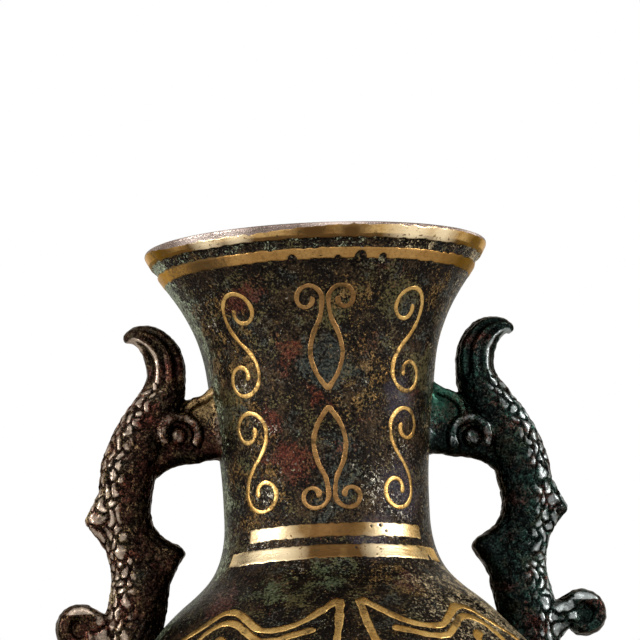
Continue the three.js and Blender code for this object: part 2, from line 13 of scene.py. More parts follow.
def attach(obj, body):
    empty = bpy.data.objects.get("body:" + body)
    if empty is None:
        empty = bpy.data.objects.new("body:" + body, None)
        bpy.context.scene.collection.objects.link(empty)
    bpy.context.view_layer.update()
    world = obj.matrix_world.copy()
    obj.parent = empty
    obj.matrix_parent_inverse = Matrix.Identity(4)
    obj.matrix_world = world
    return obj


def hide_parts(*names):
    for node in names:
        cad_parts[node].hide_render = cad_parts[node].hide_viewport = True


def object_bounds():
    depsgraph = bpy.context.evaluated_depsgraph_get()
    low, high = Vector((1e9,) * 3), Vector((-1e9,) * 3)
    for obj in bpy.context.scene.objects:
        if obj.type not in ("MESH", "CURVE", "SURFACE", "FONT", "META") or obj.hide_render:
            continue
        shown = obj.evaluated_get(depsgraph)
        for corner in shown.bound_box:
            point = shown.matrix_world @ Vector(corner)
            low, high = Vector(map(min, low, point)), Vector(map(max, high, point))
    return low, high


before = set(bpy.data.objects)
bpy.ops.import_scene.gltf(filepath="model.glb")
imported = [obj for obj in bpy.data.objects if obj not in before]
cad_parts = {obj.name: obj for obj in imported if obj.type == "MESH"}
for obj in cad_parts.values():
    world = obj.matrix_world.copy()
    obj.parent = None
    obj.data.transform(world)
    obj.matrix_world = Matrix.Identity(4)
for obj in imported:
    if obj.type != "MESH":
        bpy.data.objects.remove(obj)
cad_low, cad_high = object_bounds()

MM = 0.001
TINY = 1e-9

# Heights and radii of the outer wall.
HEIGHT = cad_high.z / MM
BELLY_RADIUS = cad_high.y / MM
BELLY_HEIGHT = 146
FOOT_HEIGHT = 37
FOOT_NECK_RADIUS = 53
WAIST_RADIUS = 39

# Heights, radii and slopes of the wall's outline, from the foot neck up to the lip.
WALL_KEYS = [
    (FOOT_HEIGHT, FOOT_NECK_RADIUS, 0.75),
    (BELLY_HEIGHT, BELLY_RADIUS, 0),
    (HEIGHT - 152.7, 72.6, -1),
    (HEIGHT - 134.8, 54.5, -1.28),
    (HEIGHT - 123.3, 43.5, -0.56),
    (HEIGHT - 96.4, WAIST_RADIUS, 0),
    (HEIGHT - 46, 43.6, 0.12),
    (HEIGHT - 15, 56.3, 0.7),
    (HEIGHT, 65.5, 0.44),
]

# Thickness of the casting, and the half-round edge of its lip.
WALL = 4
LIP_WALL = 2.4
LIP_TAPER = 60
LIP_EDGE = 0.9
LIP_STEPS = 9

# Unevenness of the cast skin: how deep it goes, and the size of its swells and dents.
CAST_DEPTH = 0.3
CAST_SWELL = 34
CAST_DENT = 9

# Steps round the axis of the turned pieces.
WALL_TURNS = 250
FOOT_TURNS = 220
PLATE_TURNS = 120

# Foot ring and the plate in it.
FOOT_RADIUS = 65
FOOT_WALL = 6
PLINTH_HEIGHT = 10
PLINTH_STEP = 2.6
PLATE_RADIUS = 50.2
PLATE_THICKNESS = 3
SEAT_GAP = 0.3
FOOT_BAND_HEIGHT = 3
FOOT_BAND_WIDTH = 4

# Gold bands: how they stand on the wall, and the turn to each side of one that goes right round.
FULL_TURN = 180
BAND_RISE = 0.16
BAND_THICKNESS = 0.7
BAND_EDGE_SINK = 0.3
BAND_RAGGED = 0.5
NICK_DEPTH = 0.35
RIM_SLIP = 1.7

# The dark furrow between the two bands of the mouth.
FURROW_TOP = 6.05
FURROW_BOTTOM = 8.75
FURROW_DEPTH = 0.55

# Gold wires of the neck and the shoulder.
NECK_WIRE = 1.75
NECK_SCROLL_WIDTH = 21
NECK_SCROLL_HEIGHT = 40
NECK_SCROLL_SPREAD = 0.52
NECK_TOP_ROW_DROP = 41
NECK_ROW_PITCH = 44
NECK_COLUMN_PITCH = 43.5
NECK_COLUMN_SHIFT = -3.2
SHOULDER_WIRE = 3.1
SCROLL_TOP_DROP = 140.8
SCROLL_DEPTH = 64
SCROLL_TURN = 66
WIRE_RISE = 0.2
WIRE_THICKNESS = 0.6
WIRE_STEP = 0.65

# The handle's middle line, from the hook's tip to inside the shoulder: radius, drop, and the
# full width and thickness of the section there.
SPINE = [
    (73.8, 34.2, 2.0, 5.4), (72.6, 32.8, 4.6, 8.5), (70.2, 32.0, 7.0, 10.8),
    (66.5, 32.8, 10.1, 13.7), (62.8, 35.3, 12.6, 15.7), (59.7, 40.4, 14.3, 16.7),
    (58.9, 47.5, 14.9, 17.3), (60.4, 54.8, 16.4, 17.6), (64.8, 62.8, 18.7, 18.4),
    (69.6, 71.0, 20.2, 18.7), (73.6, 80.0, 21.0, 18.7), (76.0, 90.0, 20.6, 18.4),
    (76.4, 100.0, 19.5, 18.0), (75.0, 110.0, 19.7, 17.6), (72.6, 119.0, 21.0, 17.6),
    (71.9, 127.0, 22.0, 18.0), (73.4, 135.0, 22.5, 18.4), (75.0, 143.0, 22.5, 18.7),
    (75.5, 152.0, 22.0, 19.3), (72.7, 168.0, 20.0, 19.8), (67.8, 185.5, 16.8, 19.8),
]

# Sections of the parts that stand off the handle's body: the radius and drop of one edge, those
# of the other, and the thickness. The spike runs outward, the lobe and the strut inward.
SPIKE = [
    (78, 84, 76, 118, 14.5), (83.6, 87, 82.6, 115.5, 13.6), (86.2, 90.6, 85.2, 112, 12.6),
    (88.0, 94, 87.2, 109, 11.2), (89.5, 97, 88.8, 106.6, 9.4), (90.8, 99.4, 90.3, 104.8, 7),
    (91.9, 101.2, 91.7, 103, 3.6),
]
LOBE = [
    (68.5, 100.5, 70, 138, 15.5), (65.2, 105.6, 65.2, 133.5, 15.4), (62.8, 108.6, 62.2, 129.5, 15),
    (60.0, 110.5, 59.4, 124, 13.6), (57.4, 111.9, 57.6, 120.8, 11.4), (55.8, 113.2, 56.3, 118.8, 8.8),
    (54.9, 114.5, 55.3, 117.2, 5.4), (54.5, 115.4, 54.7, 116.3, 1.8),
]
STRUT = [
    (35, 48.5, 35, 84, 17), (38.6, 49.6, 38.6, 81.5, 16), (40.6, 52.6, 40.8, 80, 14.4),
    (43.5, 55, 44.5, 80.2, 11.6), (47.5, 56.2, 49, 81.2, 10), (52, 57, 55, 82, 9.6),
    (58, 60, 61, 84, 10), (66, 64, 66, 88, 12),
]
STRUT_HALF = 4.8
STRUT_RIM = [
    (39.6, 52.6), (42.2, 55.2), (45.4, 57.2), (48.6, 58.2), (51.2, 60.2), (52.6, 63.2), (53, 66.4),
]
VOLUTE_RADIUS = 55.2
VOLUTE_SIZE = 6.4
VOLUTE_WIRE = 2.0
CURL_RADIUS = 95.7
CURL_DROP = 143.2
CURL_SIZE = 9.8
CURL_THICKNESS = 15

# The handle's skin: how fine it is, and how far it sinks into the wall.
HANDLE_VOXEL = 0.45
HANDLE_SINK = 1.4

# Carving of the handle: scales on its body and ridges on its hook.
CREST_END_DROP = 50
SCALE_LENGTH = 4.3
SCALE_WIDTH = 3.9
SCALE_RISE = 1.05
RIDGE_DEPTH = 1.2

# The camera: a long lens to the left of the front, set lower than the vase stands and looking up
# at it, with a slight roll.
CAMERA_TURN = -6.5
CAMERA_RISE = -8.3
CAMERA_ROLL = 2.5
CAMERA_DISTANCE = 3.0
CAMERA_LENS = 444
CAMERA_AIM = Vector((0.0006, 0, 0.3405))

# The floor, which ends before the camera's line of sight, and the light of the sky.
FLOOR_RADIUS = 1.1
SKY_LEVEL = 0.5

# The softboxes in metres and watts: place, aim, width, height and power.
SOFTBOXES = {
    "softbox_left": ((-1.2, -0.3, 0.65), (0, 0, 0.27), 0.16, 0.6, 9),
    "softbox_right": ((1.15, -0.35, 0.7), (0, 0, 0.27), 0.16, 0.6, 9),
    "softbox_front": ((-0.25, -1.5, 0.95), (0, 0, 0.25), 0.8, 0.8, 6),
}


# Curves


def smooth(low, high, value):
    """0 below low, 1 above high and a soft step between, for numbers and arrays."""
    t = np.clip((value - low) / (high - low), 0, 1)
    return t * t * (3 - 2 * t)


def spline(points, t):
    """The point at share t of a smooth curve through points, which are arrays."""
    last = len(points) - 1
    i = min(int(last * t), last - 1)
    w = last * t - i
    p0, p1, p2, p3 = (np.asarray(points[min(max(i + k, 0), last)], float) for k in (-1, 0, 1, 2))
    start = (p2 - p0) / 2
    end = (p3 - p1) / 2
    cubic = 2 * p1 - 2 * p2 + start + end
    square = 3 * p2 - 3 * p1 - 2 * start - end
    return cubic * w**3 + square * w**2 + start * w + p1


def dense(rows, count):
    return np.array([spline(rows, t) for t in np.linspace(0, 1, count)])


def lengths(points):
    """The length of a line up to each of its points."""
    return np.concatenate([[0], np.cumsum(np.linalg.norm(np.diff(points, axis=0), axis=1))])


def directions(line, least=0.0):
    """The unit direction at each row of a line, by its first two numbers. Where rows may lie in
    one place, a tiny least keeps them from a division by zero."""
    along = np.gradient(line[:, :2], axis=0)
    return along / (np.linalg.norm(along, axis=1, keepdims=True) + least)


def smoothed(points, step):
    """The smooth curve through points, as points about step apart."""
    fine = dense(points, 12 * len(points))
    reach = lengths(fine)
    places = np.linspace(0, reach[-1], max(6, int(reach[-1] / step)))
    return np.stack([np.interp(places, reach, fine[:, k]) for k in range(fine.shape[1])], axis=1)


# The wall


def wall_radius(z):
    """Outer radius of the wall at a height, as a smooth curve through the keys."""
    last = len(WALL_KEYS) - 2
    i = 0
    while i < last and z > WALL_KEYS[i + 1][0]:
        i += 1
    z0, r0, s0 = WALL_KEYS[i]
    z1, r1, s1 = WALL_KEYS[i + 1]
    h = z1 - z0
    t = min(max((z - z0) / h, 0), 1)
    return r0 + (r1 - r0) * (3 - 2 * t) * t * t + h * t * (1 - t) * (s0 * (1 - t) - s1 * t)


def wall_slope(z):
    step = 0.05
    top = min(z + step, HEIGHT)
    bottom = max(z - step, FOOT_HEIGHT)
    return (wall_radius(top) - wall_radius(bottom)) / (top - bottom)


def casting(turn, z):
    """How far the cast skin lies off its ideal surface. At the belly it only lies under it."""
    angle = math.radians(turn)
    r = wall_radius(z)
    place = Vector((r * math.sin(angle), -r * math.cos(angle), z))
    swell = noise.noise(place / CAST_SWELL + Vector((3.1, 0, 7.7)))
    dent = noise.noise(place / CAST_DENT + Vector((0, 5.3, 1.9)))
    share = min(max(0.5 + 0.55 * swell + 0.3 * dent, 0), 1)
    highest = 0.5 * float(smooth(HEIGHT - 200, HEIGHT - 130, z))
    return CAST_DEPTH * (highest - share)


def on_wall(turn, z, lift):
    """A point of the cast wall, moved off it by lift."""
    slope = wall_slope(z)
    across = 1 / math.hypot(1, slope)
    out = lift + casting(turn, z)
    r = wall_radius(z) + out * across
    angle = math.radians(turn)
    return Vector((r * math.sin(angle), -r * math.cos(angle), z - out * slope * across))


def wall_normal(turn, z):
    angle = math.radians(turn)
    return Vector((math.sin(angle), -math.cos(angle), -wall_slope(z))).normalized()


# Meshes


def woven(along, around, place, capped=False, ring=False):
    """A mesh of along by around cells, where place gives a point for two shares from 0 to 1.
    With ring its ends meet. With capped its sides meet and its ends are closed."""
    bm = bmesh.new()
    bmesh.ops.create_grid(bm, x_segments=along, y_segments=around, size=0.5)
    for v in bm.verts:
        v.co = place(v.co.x + 0.5, v.co.y + 0.5)
    if ring or capped:
        bmesh.ops.remove_doubles(bm, verts=bm.verts[:], dist=1e-4)
    if capped:
        open_edges = [e for e in bm.edges if e.is_boundary]
        bmesh.ops.holes_fill(bm, edges=open_edges, sides=0)
    bmesh.ops.recalc_face_normals(bm, faces=bm.faces[:])
    return bm


def spun(outline, steps):
    """A closed body of revolution from a closed outline of radius and height."""
    bm = bmesh.new()
    verts = [bm.verts.new((r, 0, z)) for r, z in outline]
    edges = [bm.edges.new(pair) for pair in zip(verts, verts[1:] + verts[:1])]
    bmesh.ops.spin(
        bm, geom=verts + edges, axis=(0, 0, 1), cent=(0, 0, 0),
        angle=2 * math.pi, steps=steps, use_merge=True,
    )
    bmesh.ops.remove_doubles(bm, verts=bm.verts[:], dist=1e-4)
    bmesh.ops.recalc_face_normals(bm, faces=bm.faces[:])
    return bm


def thicken(bm, thickness):
    """Gives a sheet that lies on the wall its thickness, inward."""
    outward = 0
    for face in bm.faces:
        middle = face.calc_center_median()
        outward += face.normal.x * middle.x + face.normal.y * middle.y
    if outward < 0:
        bmesh.ops.reverse_faces(bm, faces=bm.faces[:])
    bmesh.ops.solidify(bm, geom=bm.faces[:], thickness=thickness)
    bmesh.ops.recalc_face_normals(bm, faces=bm.faces[:])


def joined(parts):
    """Several meshes as one."""
    whole = bmesh.new()
    for bm in parts:
        part = bpy.data.meshes.new("part")
        bm.to_mesh(part)
        bm.free()
        whole.from_mesh(part)
        bpy.data.meshes.remove(part)
    return whole


def turn_of(point):
    return math.degrees(math.atan2(point.x, -point.y))


def uneven(bm, depth=1.0):
    """Gives a body round the axis the wall's cast unevenness."""
    for v in bm.verts:
        r = math.hypot(v.co.x, v.co.y)
        if r > 1:
            share = (r + depth * casting(turn_of(v.co), v.co.z)) / r
            v.co.x *= share
            v.co.y *= share


def placed(name, mesh, material, nodes):
    """Hands a finished mesh to the frame in place of CAD nodes."""
    mesh.shade_smooth()
    mesh.materials.append(material)
    obj = bpy.data.objects.new(name, mesh)
    bpy.context.scene.collection.objects.link(obj)
    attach(obj, "root")
    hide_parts(*nodes)
    return obj


def piece(name, bm, material, nodes):
    """Turns millimetres into metres and makes a placed piece."""
    bmesh.ops.scale(bm, vec=(MM, MM, MM), verts=bm.verts[:])
    mesh = bpy.data.meshes.new(name)
    bm.to_mesh(mesh)
    bm.free()
    return placed(name, mesh, material, nodes)


def mark(mesh, name, values):
    """Stores a number from 0 to 1 at each point of a mesh, for its material to read."""
    layer = mesh.attributes.new(name, "FLOAT", "POINT")
    layer.data.foreach_set("value", np.asarray(values, np.float32))


# Shader nodes


class Tree:
    """Short ways to add nodes to a node tree. Each gives the socket that holds the result."""

    def __init__(self, tree):
        self.nodes = tree.nodes
        self.links = tree.links

    def feed(self, socket, value):
        if isinstance(value, bpy.types.NodeSocket):
            self.links.new(value, socket)
        elif socket.type == "RGBA":
            socket.default_value = (*value, 1)
        else:
            socket.default_value = value

    def node(self, kind, inputs, **settings):
        made = self.nodes.new(kind)
        for key, value in settings.items():
            setattr(made, key, value)
        for key, value in inputs.items():
            self.feed(made.inputs[key], value)
        return made

    def vector(self, operation, first, second=(0, 0, 0)):
        made = self.node("ShaderNodeVectorMath", {0: first, 1: second}, operation=operation)
        return made.outputs["Value" if operation == "DISTANCE" else "Vector"]

    def object_place(self):
        return self.node("ShaderNodeTexCoord", {}).outputs["Object"]

    def axis(self, place, name):
        return self.node("ShaderNodeSeparateXYZ", {"Vector": place}).outputs[name]

    def speckle(self, place, size, detail=4, roughness=0.6, distortion=0.0, output="Fac"):
        """Noise whose largest features are about size millimetres."""
        inputs = {
            "Vector": place, "Scale": 1 / (size * MM), "Detail": detail,
            "Roughness": roughness, "Distortion": distortion,
        }
        return self.node("ShaderNodeTexNoise", inputs).outputs[output]

    def between(self, value, low, high, to_low=0.0, to_high=1.0):
        inputs = {
            "Value": value, "From Min": low, "From Max": high,
            "To Min": to_low, "To Max": to_high,
        }
        return self.node("ShaderNodeMapRange", inputs).outputs["Result"]

    def by_drop(self, height, first, last):
        """0 at the first drop below the lip, 1 at the last, and a ramp between them."""
        return self.between(height, (HEIGHT - first) * MM, (HEIGHT - last) * MM)

    def math(self, operation, first, second=0.0, clamp=False):
        inputs = {0: first, 1: second}
        return self.node("ShaderNodeMath", inputs, operation=operation, use_clamp=clamp).outputs[0]

    def total(self, *terms):
        """Sum of values, each given alone or as a pair with its weight."""
        whole = None
        for term in terms:
            value = self.math("MULTIPLY", *term) if isinstance(term, tuple) else term
            whole = value if whole is None else self.math("ADD", whole, value)
        return whole

    def mix(self, share, first, second, blend="MIX"):
        inputs = {"Factor": share, 6: first, 7: second}
        return self.node("ShaderNodeMix", inputs, data_type="RGBA", blend_type=blend).outputs[2]

    def coated(self, color, *coats):
        """A colour under coats of others: the mask of each, how much it hides, and its colour."""
        for mask, most, above in coats:
            color = self.mix(self.math("MULTIPLY", mask, most), color, above)
        return color

    def attribute(self, name):
        return self.node("ShaderNodeAttribute", {}, attribute_name=name).outputs["Fac"]

    def strayed(self, place, size, reach):
        """The place shifted by up to a reach, so that a spot measured from it has a ragged shape."""
        drift = self.speckle(place, size, 3, output="Color")
        drift = self.vector("SUBTRACT", drift, (0.5, 0.5, 0.5))
        return self.vector("ADD", place, self.vector("MULTIPLY", drift, (2 * reach * MM,) * 3))

    def near(self, place, spots):
        """1 in the middle of a spot and 0 outside all of them. Each has a turn, a drop and a reach,
        and one on a handle also how far it lies off the wall."""
        nearest = None
        for turn, drop, reach, *lift in spots:
            middle = on_wall(turn, HEIGHT - drop, sum(lift)) * MM
            far = self.vector("DISTANCE", place, middle)
            here = self.between(far, 0.0, reach * MM, 1.0, 0.0)
            nearest = here if nearest is None else self.math("MAXIMUM", nearest, here)
        return nearest

    def group(self, tree, inputs):
        return self.node("ShaderNodeGroup", inputs, node_tree=tree).outputs


def new_group(name, inputs, outputs):
    """A node group with named sockets, and the sockets inside it."""
    tree = bpy.data.node_groups.new(name, "ShaderNodeTree")
    for key, kind in inputs.items():
        tree.interface.new_socket(key, in_out="INPUT", socket_type=kind)
    for key, kind in outputs.items():
        tree.interface.new_socket(key, in_out="OUTPUT", socket_type=kind)
    given = tree.nodes.new("NodeGroupInput").outputs
    result = tree.nodes.new("NodeGroupOutput").inputs
    return tree, given, result


FLOAT = "NodeSocketFloat"
COLOR = "NodeSocketColor"
FINISH = {"Color": COLOR, "Roughness": FLOAT, "Metallic": FLOAT, "Height": FLOAT}


def grain_group():
    """The skin of an old casting: crumbly noise, bright grains, dark pits and their height."""
    tree, given, result = new_group(
        "cast_grain", {"Size": FLOAT}, {"Crumble": FLOAT, "Grains": FLOAT, "Pits": FLOAT, "Height": FLOAT}
    )
    t = Tree(tree)
    place = t.object_place()
    scale = t.math("DIVIDE", 1 / MM, given["Size"])
    fine = t.node("ShaderNodeTexNoise", {
        "Vector": place, "Scale": scale, "Detail": 3.0, "Roughness": 0.75,
    }).outputs["Fac"]
    pits = t.node("ShaderNodeTexVoronoi", {"Vector": place, "Scale": scale}).outputs["Distance"]
    flat = t.speckle(place, 3.4, 4, 0.7, 0.4)
    t.feed(result["Crumble"], t.math("SUBTRACT", fine, 0.5))
    t.feed(result["Grains"], t.between(fine, 0.56, 0.68))
    t.feed(result["Pits"], t.between(t.total(fine, (flat, 0.5)), 0.62, 0.72, 1.0, 0.0))
    t.feed(result["Height"], t.total((fine, 0.8), (flat, 0.9), (pits, 0.3)))
    return tree


def patina_group(grain):
    """Bronze under its patina: black to brown metal, and over it blooms of olive, teal and red,
    flakes of ochre and a pale crust. A share of 0.5 covers half of the surface with its bloom."""
    shares = ("Olive Share", "Teal Share", "Red Share", "Flake Share", "Crust Share", "Speck Share")
    colors = ("Dark", "Brown", "Olive", "Teal", "Red", "Flake", "Crust", "Speck")
    inputs = dict.fromkeys(colors, COLOR) | dict.fromkeys(shares, FLOAT) | {"Grain Size": FLOAT}
    tree, given, result = new_group("bronze_patina", inputs, FINISH)
    t = Tree(tree)
    place = t.object_place()
    grained = t.group(grain, {"Size": given["Grain Size"]})
    crumble = grained["Crumble"]
    broken = t.between(t.total(crumble, (t.speckle(place, 2.2, 3, 0.8, 1.2), 0.8)), 0.3, 0.52, 0.2, 1.0)

    def bloom(size, share, edge, seed, detail=5, rough=0.8):
        """Where noise of a size, with crumbled edges, is higher than the share leaves bare."""
        shifted = t.vector("ADD", place, (seed, 2.3 * seed, 0.7 * seed))
        patch = t.speckle(shifted, size, detail, 0.7, 0.6)
        whole = t.between(t.total(patch, (crumble, rough), given[share]), 1.0 - edge, 1.0 + edge)
        return t.math("MULTIPLY", whole, broken)

    mottle = t.speckle(place, 11.0, 6, 0.72, 0.5)
    tone = t.between(t.total(mottle, (crumble, 0.7)), 0.48, 0.66)
    olive = bloom(9.0, "Olive Share", 0.03, 0.11)
    teal = bloom(10.0, "Teal Share", 0.04, 0.23)
    red = bloom(13.0, "Red Share", 0.05, 0.37)
    flake = bloom(4.5, "Flake Share", 0.02, 0.51)
    crust = bloom(5.5, "Crust Share", 0.04, 0.67, 7, 1.0)
    # Pale specks: painted glints, small highlights scattered over the bronze.
    chips = t.speckle(place, 1.25, 2, 0.85, 0.9)
    glint_speck = t.between(t.total(chips, given["Speck Share"]), 0.76, 0.84)
    color = t.coated(
        t.mix(tone, given["Dark"], given["Brown"]),
        (olive, 0.8, given["Olive"]), (teal, 0.7, given["Teal"]), (red, 0.85, given["Red"]),
        (flake, 0.7, given["Flake"]), (grained["Grains"], 0.2, given["Flake"]),
        (crust, 0.9, given["Crust"]), (glint_speck, 0.8, given["Speck"]),
    )
    shade = t.between(grained["Pits"], 0.0, 1.0, 1.0, 0.25)
    t.feed(result["Color"], t.mix(1.0, color, shade, "MULTIPLY"))

    rough = t.between(mottle, 0.35, 0.65, 0.17, 0.3)
    rough = t.total(rough, (crust, 0.35), (teal, 0.1), (olive, 0.1), (grained["Pits"], 0.2))
    t.feed(result["Roughness"], t.math("MINIMUM", rough, 0.9))
    metal = t.total((crust, -0.8), (teal, -0.3), (olive, -0.25), (red, -0.3))
    t.feed(result["Metallic"], t.math("ADD", metal, 0.85, clamp=True))
    t.feed(result["Height"], t.total(grained["Height"], (crust, 0.6), (flake, 0.25)))
    return tree


def gold_group(grain):
    """Beaten gold: bright and deep by turns, scratched, stained, dull where it is worn, and darker where
    tarnished and where painted shade falls.
    """
    inputs = {
        "Bright": COLOR, "Deep": COLOR, "Aged And Shaded": COLOR, "Stain": COLOR, "Stain Share": FLOAT,
        "Worn": FLOAT, "Tarnish And Shade": FLOAT,
    }
    tree, given, result = new_group("beaten_gold", inputs, FINISH)
    t = Tree(tree)
    place = t.object_place()
    grained = t.group(grain, {"Size": 1.1})
    scratch = t.speckle(t.vector("MULTIPLY", place, (0.3, 0.3, 2.0)), 1.6, 3, 0.7)
    broad = t.speckle(place, 13.0, 5, 0.65, 0.4)
    blot = t.speckle(place, 3.2, 5, 0.72, 0.3)
    lustre = t.between(t.total(broad, (scratch, 0.35)), 0.55, 0.8)
    # Darker where tarnished and where painted shade falls.
    aged_and_shaded = t.between(t.total(given["Tarnish And Shade"], (blot, 0.25), (scratch, 0.2)), 0.3, 1.0)
    dirt = t.total(blot, (grained["Crumble"], 0.5), (given["Tarnish And Shade"], 0.06), given["Stain Share"])
    dirt = t.between(dirt, 0.97, 1.07)
    worn = t.between(t.total(given["Worn"], (blot, 0.9), (grained["Crumble"], 0.8)), 0.85, 1.05)
    dirt = t.math("MAXIMUM", dirt, worn)
    color = t.coated(
        t.mix(lustre, given["Deep"], given["Bright"]),
        (aged_and_shaded, 0.97, given["Aged And Shaded"]), (dirt, 1.0, given["Stain"]), (grained["Pits"], 0.4, given["Stain"]),
    )
    t.feed(result["Color"], color)
    rough = t.total(t.between(blot, 0.3, 0.7, 0.2, 0.36), (dirt, 0.25), (aged_and_shaded, 0.12))
    t.feed(result["Roughness"], rough)
    t.feed(result["Metallic"], t.between(dirt, 0.0, 1.0, 1.0, 0.75))
    t.feed(result["Height"], t.total((grained["Height"], 0.5), (scratch, 0.5), (dirt, -0.3)))
    return tree


def new_material(name):
    material = bpy.data.materials.new(name)
    material.use_nodes = True
    return material, Tree(material.node_tree), material.node_tree.nodes["Principled BSDF"]


def coat(t, shader, color, outputs, depth):
    """Joins a finish to a shader, with bumps up to depth millimetres high."""
    t.feed(shader.inputs["Base Color"], color)
    t.feed(shader.inputs["Roughness"], outputs["Roughness"])
    t.feed(shader.inputs["Metallic"], outputs["Metallic"])
    bumped = t.node("ShaderNodeBump", {"Height": outputs["Height"], "Distance": depth * MM})
    t.feed(shader.inputs["Normal"], bumped.outputs["Normal"])


# Colours of the patina.
BLACK_BRONZE = (0.0085, 0.0065, 0.0055)
EARTH_BROWN = (0.042, 0.027, 0.015)
OLIVE = (0.105, 0.09, 0.034)
TEAL = (0.045, 0.06, 0.054)
OXIDE_RED = (0.09, 0.017, 0.009)
OCHRE = (0.24, 0.14, 0.048)
GREEN_CRUST = (0.4, 0.45, 0.29)
WARM_CRUST = (0.72, 0.56, 0.32)
# The colour of painted glints.
PALE_GLINT = (0.55, 0.5, 0.4)
# The colour of a painted sheen, a reflection on the dark gloss.
VIOLET_SHEEN_COLOR = (0.05, 0.042, 0.058)
LIP_METAL = (0.27, 0.2, 0.17)
# The colour of painted highlights on the bare lip.
LIP_HIGHLIGHT_COLOR = (0.85, 0.7, 0.62)
GREEN = (0.16, 0.22, 0.11)

# Colours of the gold where it has darkened with age, which also serves for painted shade, where it is
# stained, and at its painted highlights.
AGED_AND_SHADED_GOLD = (0.085, 0.04, 0.012)
STAINED_GOLD = (0.085, 0.048, 0.016)
GOLD_HIGHLIGHT = (0.88, 0.72, 0.46)

# Tints of the gloss.
WALL_GLOSS = (0.42, 0.38, 0.32, 1)
HANDLE_GLOSS = (0.6, 0.55, 0.5, 1)
GOLD_GLOSS = (0.85, 0.66, 0.42, 1)

# Heights in metres over which parts of the wall's patina set in.
UPPER_WALL = (0.18, 0.225)
SHOULDER_FOOT = (0.19, 0.215)
SHOULDER_TOP = (0.25, 0.235)
FLARED_MOUTH = (0.325, 0.35)

# Drops over which the crust of the mouth and the bare metal of the lip set in, and how far in
# metres the patina's own height shifts the edge of that metal.
MOUTH_CRUST = (9.6, 9.0)
LIP_BARE = (3.2, 2.6)
LIP_RAGGED = 0.0004

# Blooms of colour on the wall: turn, drop and reach.
RED_BLOOMS = [
    (-23, 46, 10), (-26, 84, 14), (-36, 74, 10), (-9, 61, 7), (-41, 26, 10), (5, 81, 6),
    (-50, 138, 11), (31, 133, 8), (150, 60, 16), (215, 134, 14),
]
TEAL_BLOOMS = [(-5, 47, 13), (1, 84, 13), (-2, 99, 9), (35, 30, 10), (170, 30, 18), (230, 80, 16)]
# Ochre blooms, and in their last row a painted lit band.
OCHRE_AND_LIT_BLOOMS = [
    (18, 50, 15), (13, 62, 12), (8, 26, 12), (17, 132, 14), (27, 136, 13), (-72, 32, 15),
    (-72, 46, 12), (55, 22, 14), (-34, 99, 8), (196, 70, 20), (165, 128, 16),
    # A painted lit band, where light grazes the left of the neck.
    (-52, 26, 12), (-46, 44, 12), (-50, 64, 12), (-46, 84, 12), (-52, 106, 13), (-62, 88, 10),
]
OLIVE_BLOOMS = [
    (-8, 132, 10), (-28, 135, 12), (-19, 139, 10), (-1, 31, 12), (-66, 62, 14), (62, 50, 14),
    (28, 24, 12), (140, 130, 16),
]
GREEN_SPOTS = [(-8, 131, 16), (-30, 135, 14), (-85, 90, 24), (-80, 140, 24), (88, 60, 20)]
CRUST_SPOTS = [(19, 12.9, 2.6), (39, 7.6, 1.8)]
# Painted highlights on the bare lip: turn, drop and reach.
LIP_HIGHLIGHT_SPOTS = [(-50, 1.5, 14), (-38, 1.5, 12), (2, 0, 16), (60, 0, 12)]
# Spots of the painted sheen on the dark gloss: turn, drop and reach.
VIOLET_SHEEN_SPOTS = [(38, 64, 11), (43, 98, 14), (20, 117, 12), (-44, 122, 9), (205, 95, 14)]
# Where painted glints gather on the wall: turn, drop and reach.
PAINTED_GLINTS = [
    (-46, 114, 13), (-44, 96, 13), (-42, 76, 9), (-50, 56, 9), (-62, 30, 12), (24, 98, 13), (36, 104, 14),
    (40, 84, 11), (28, 118, 10), (-20, 126, 8), (8, 60, 8), (150, 90, 20),
]


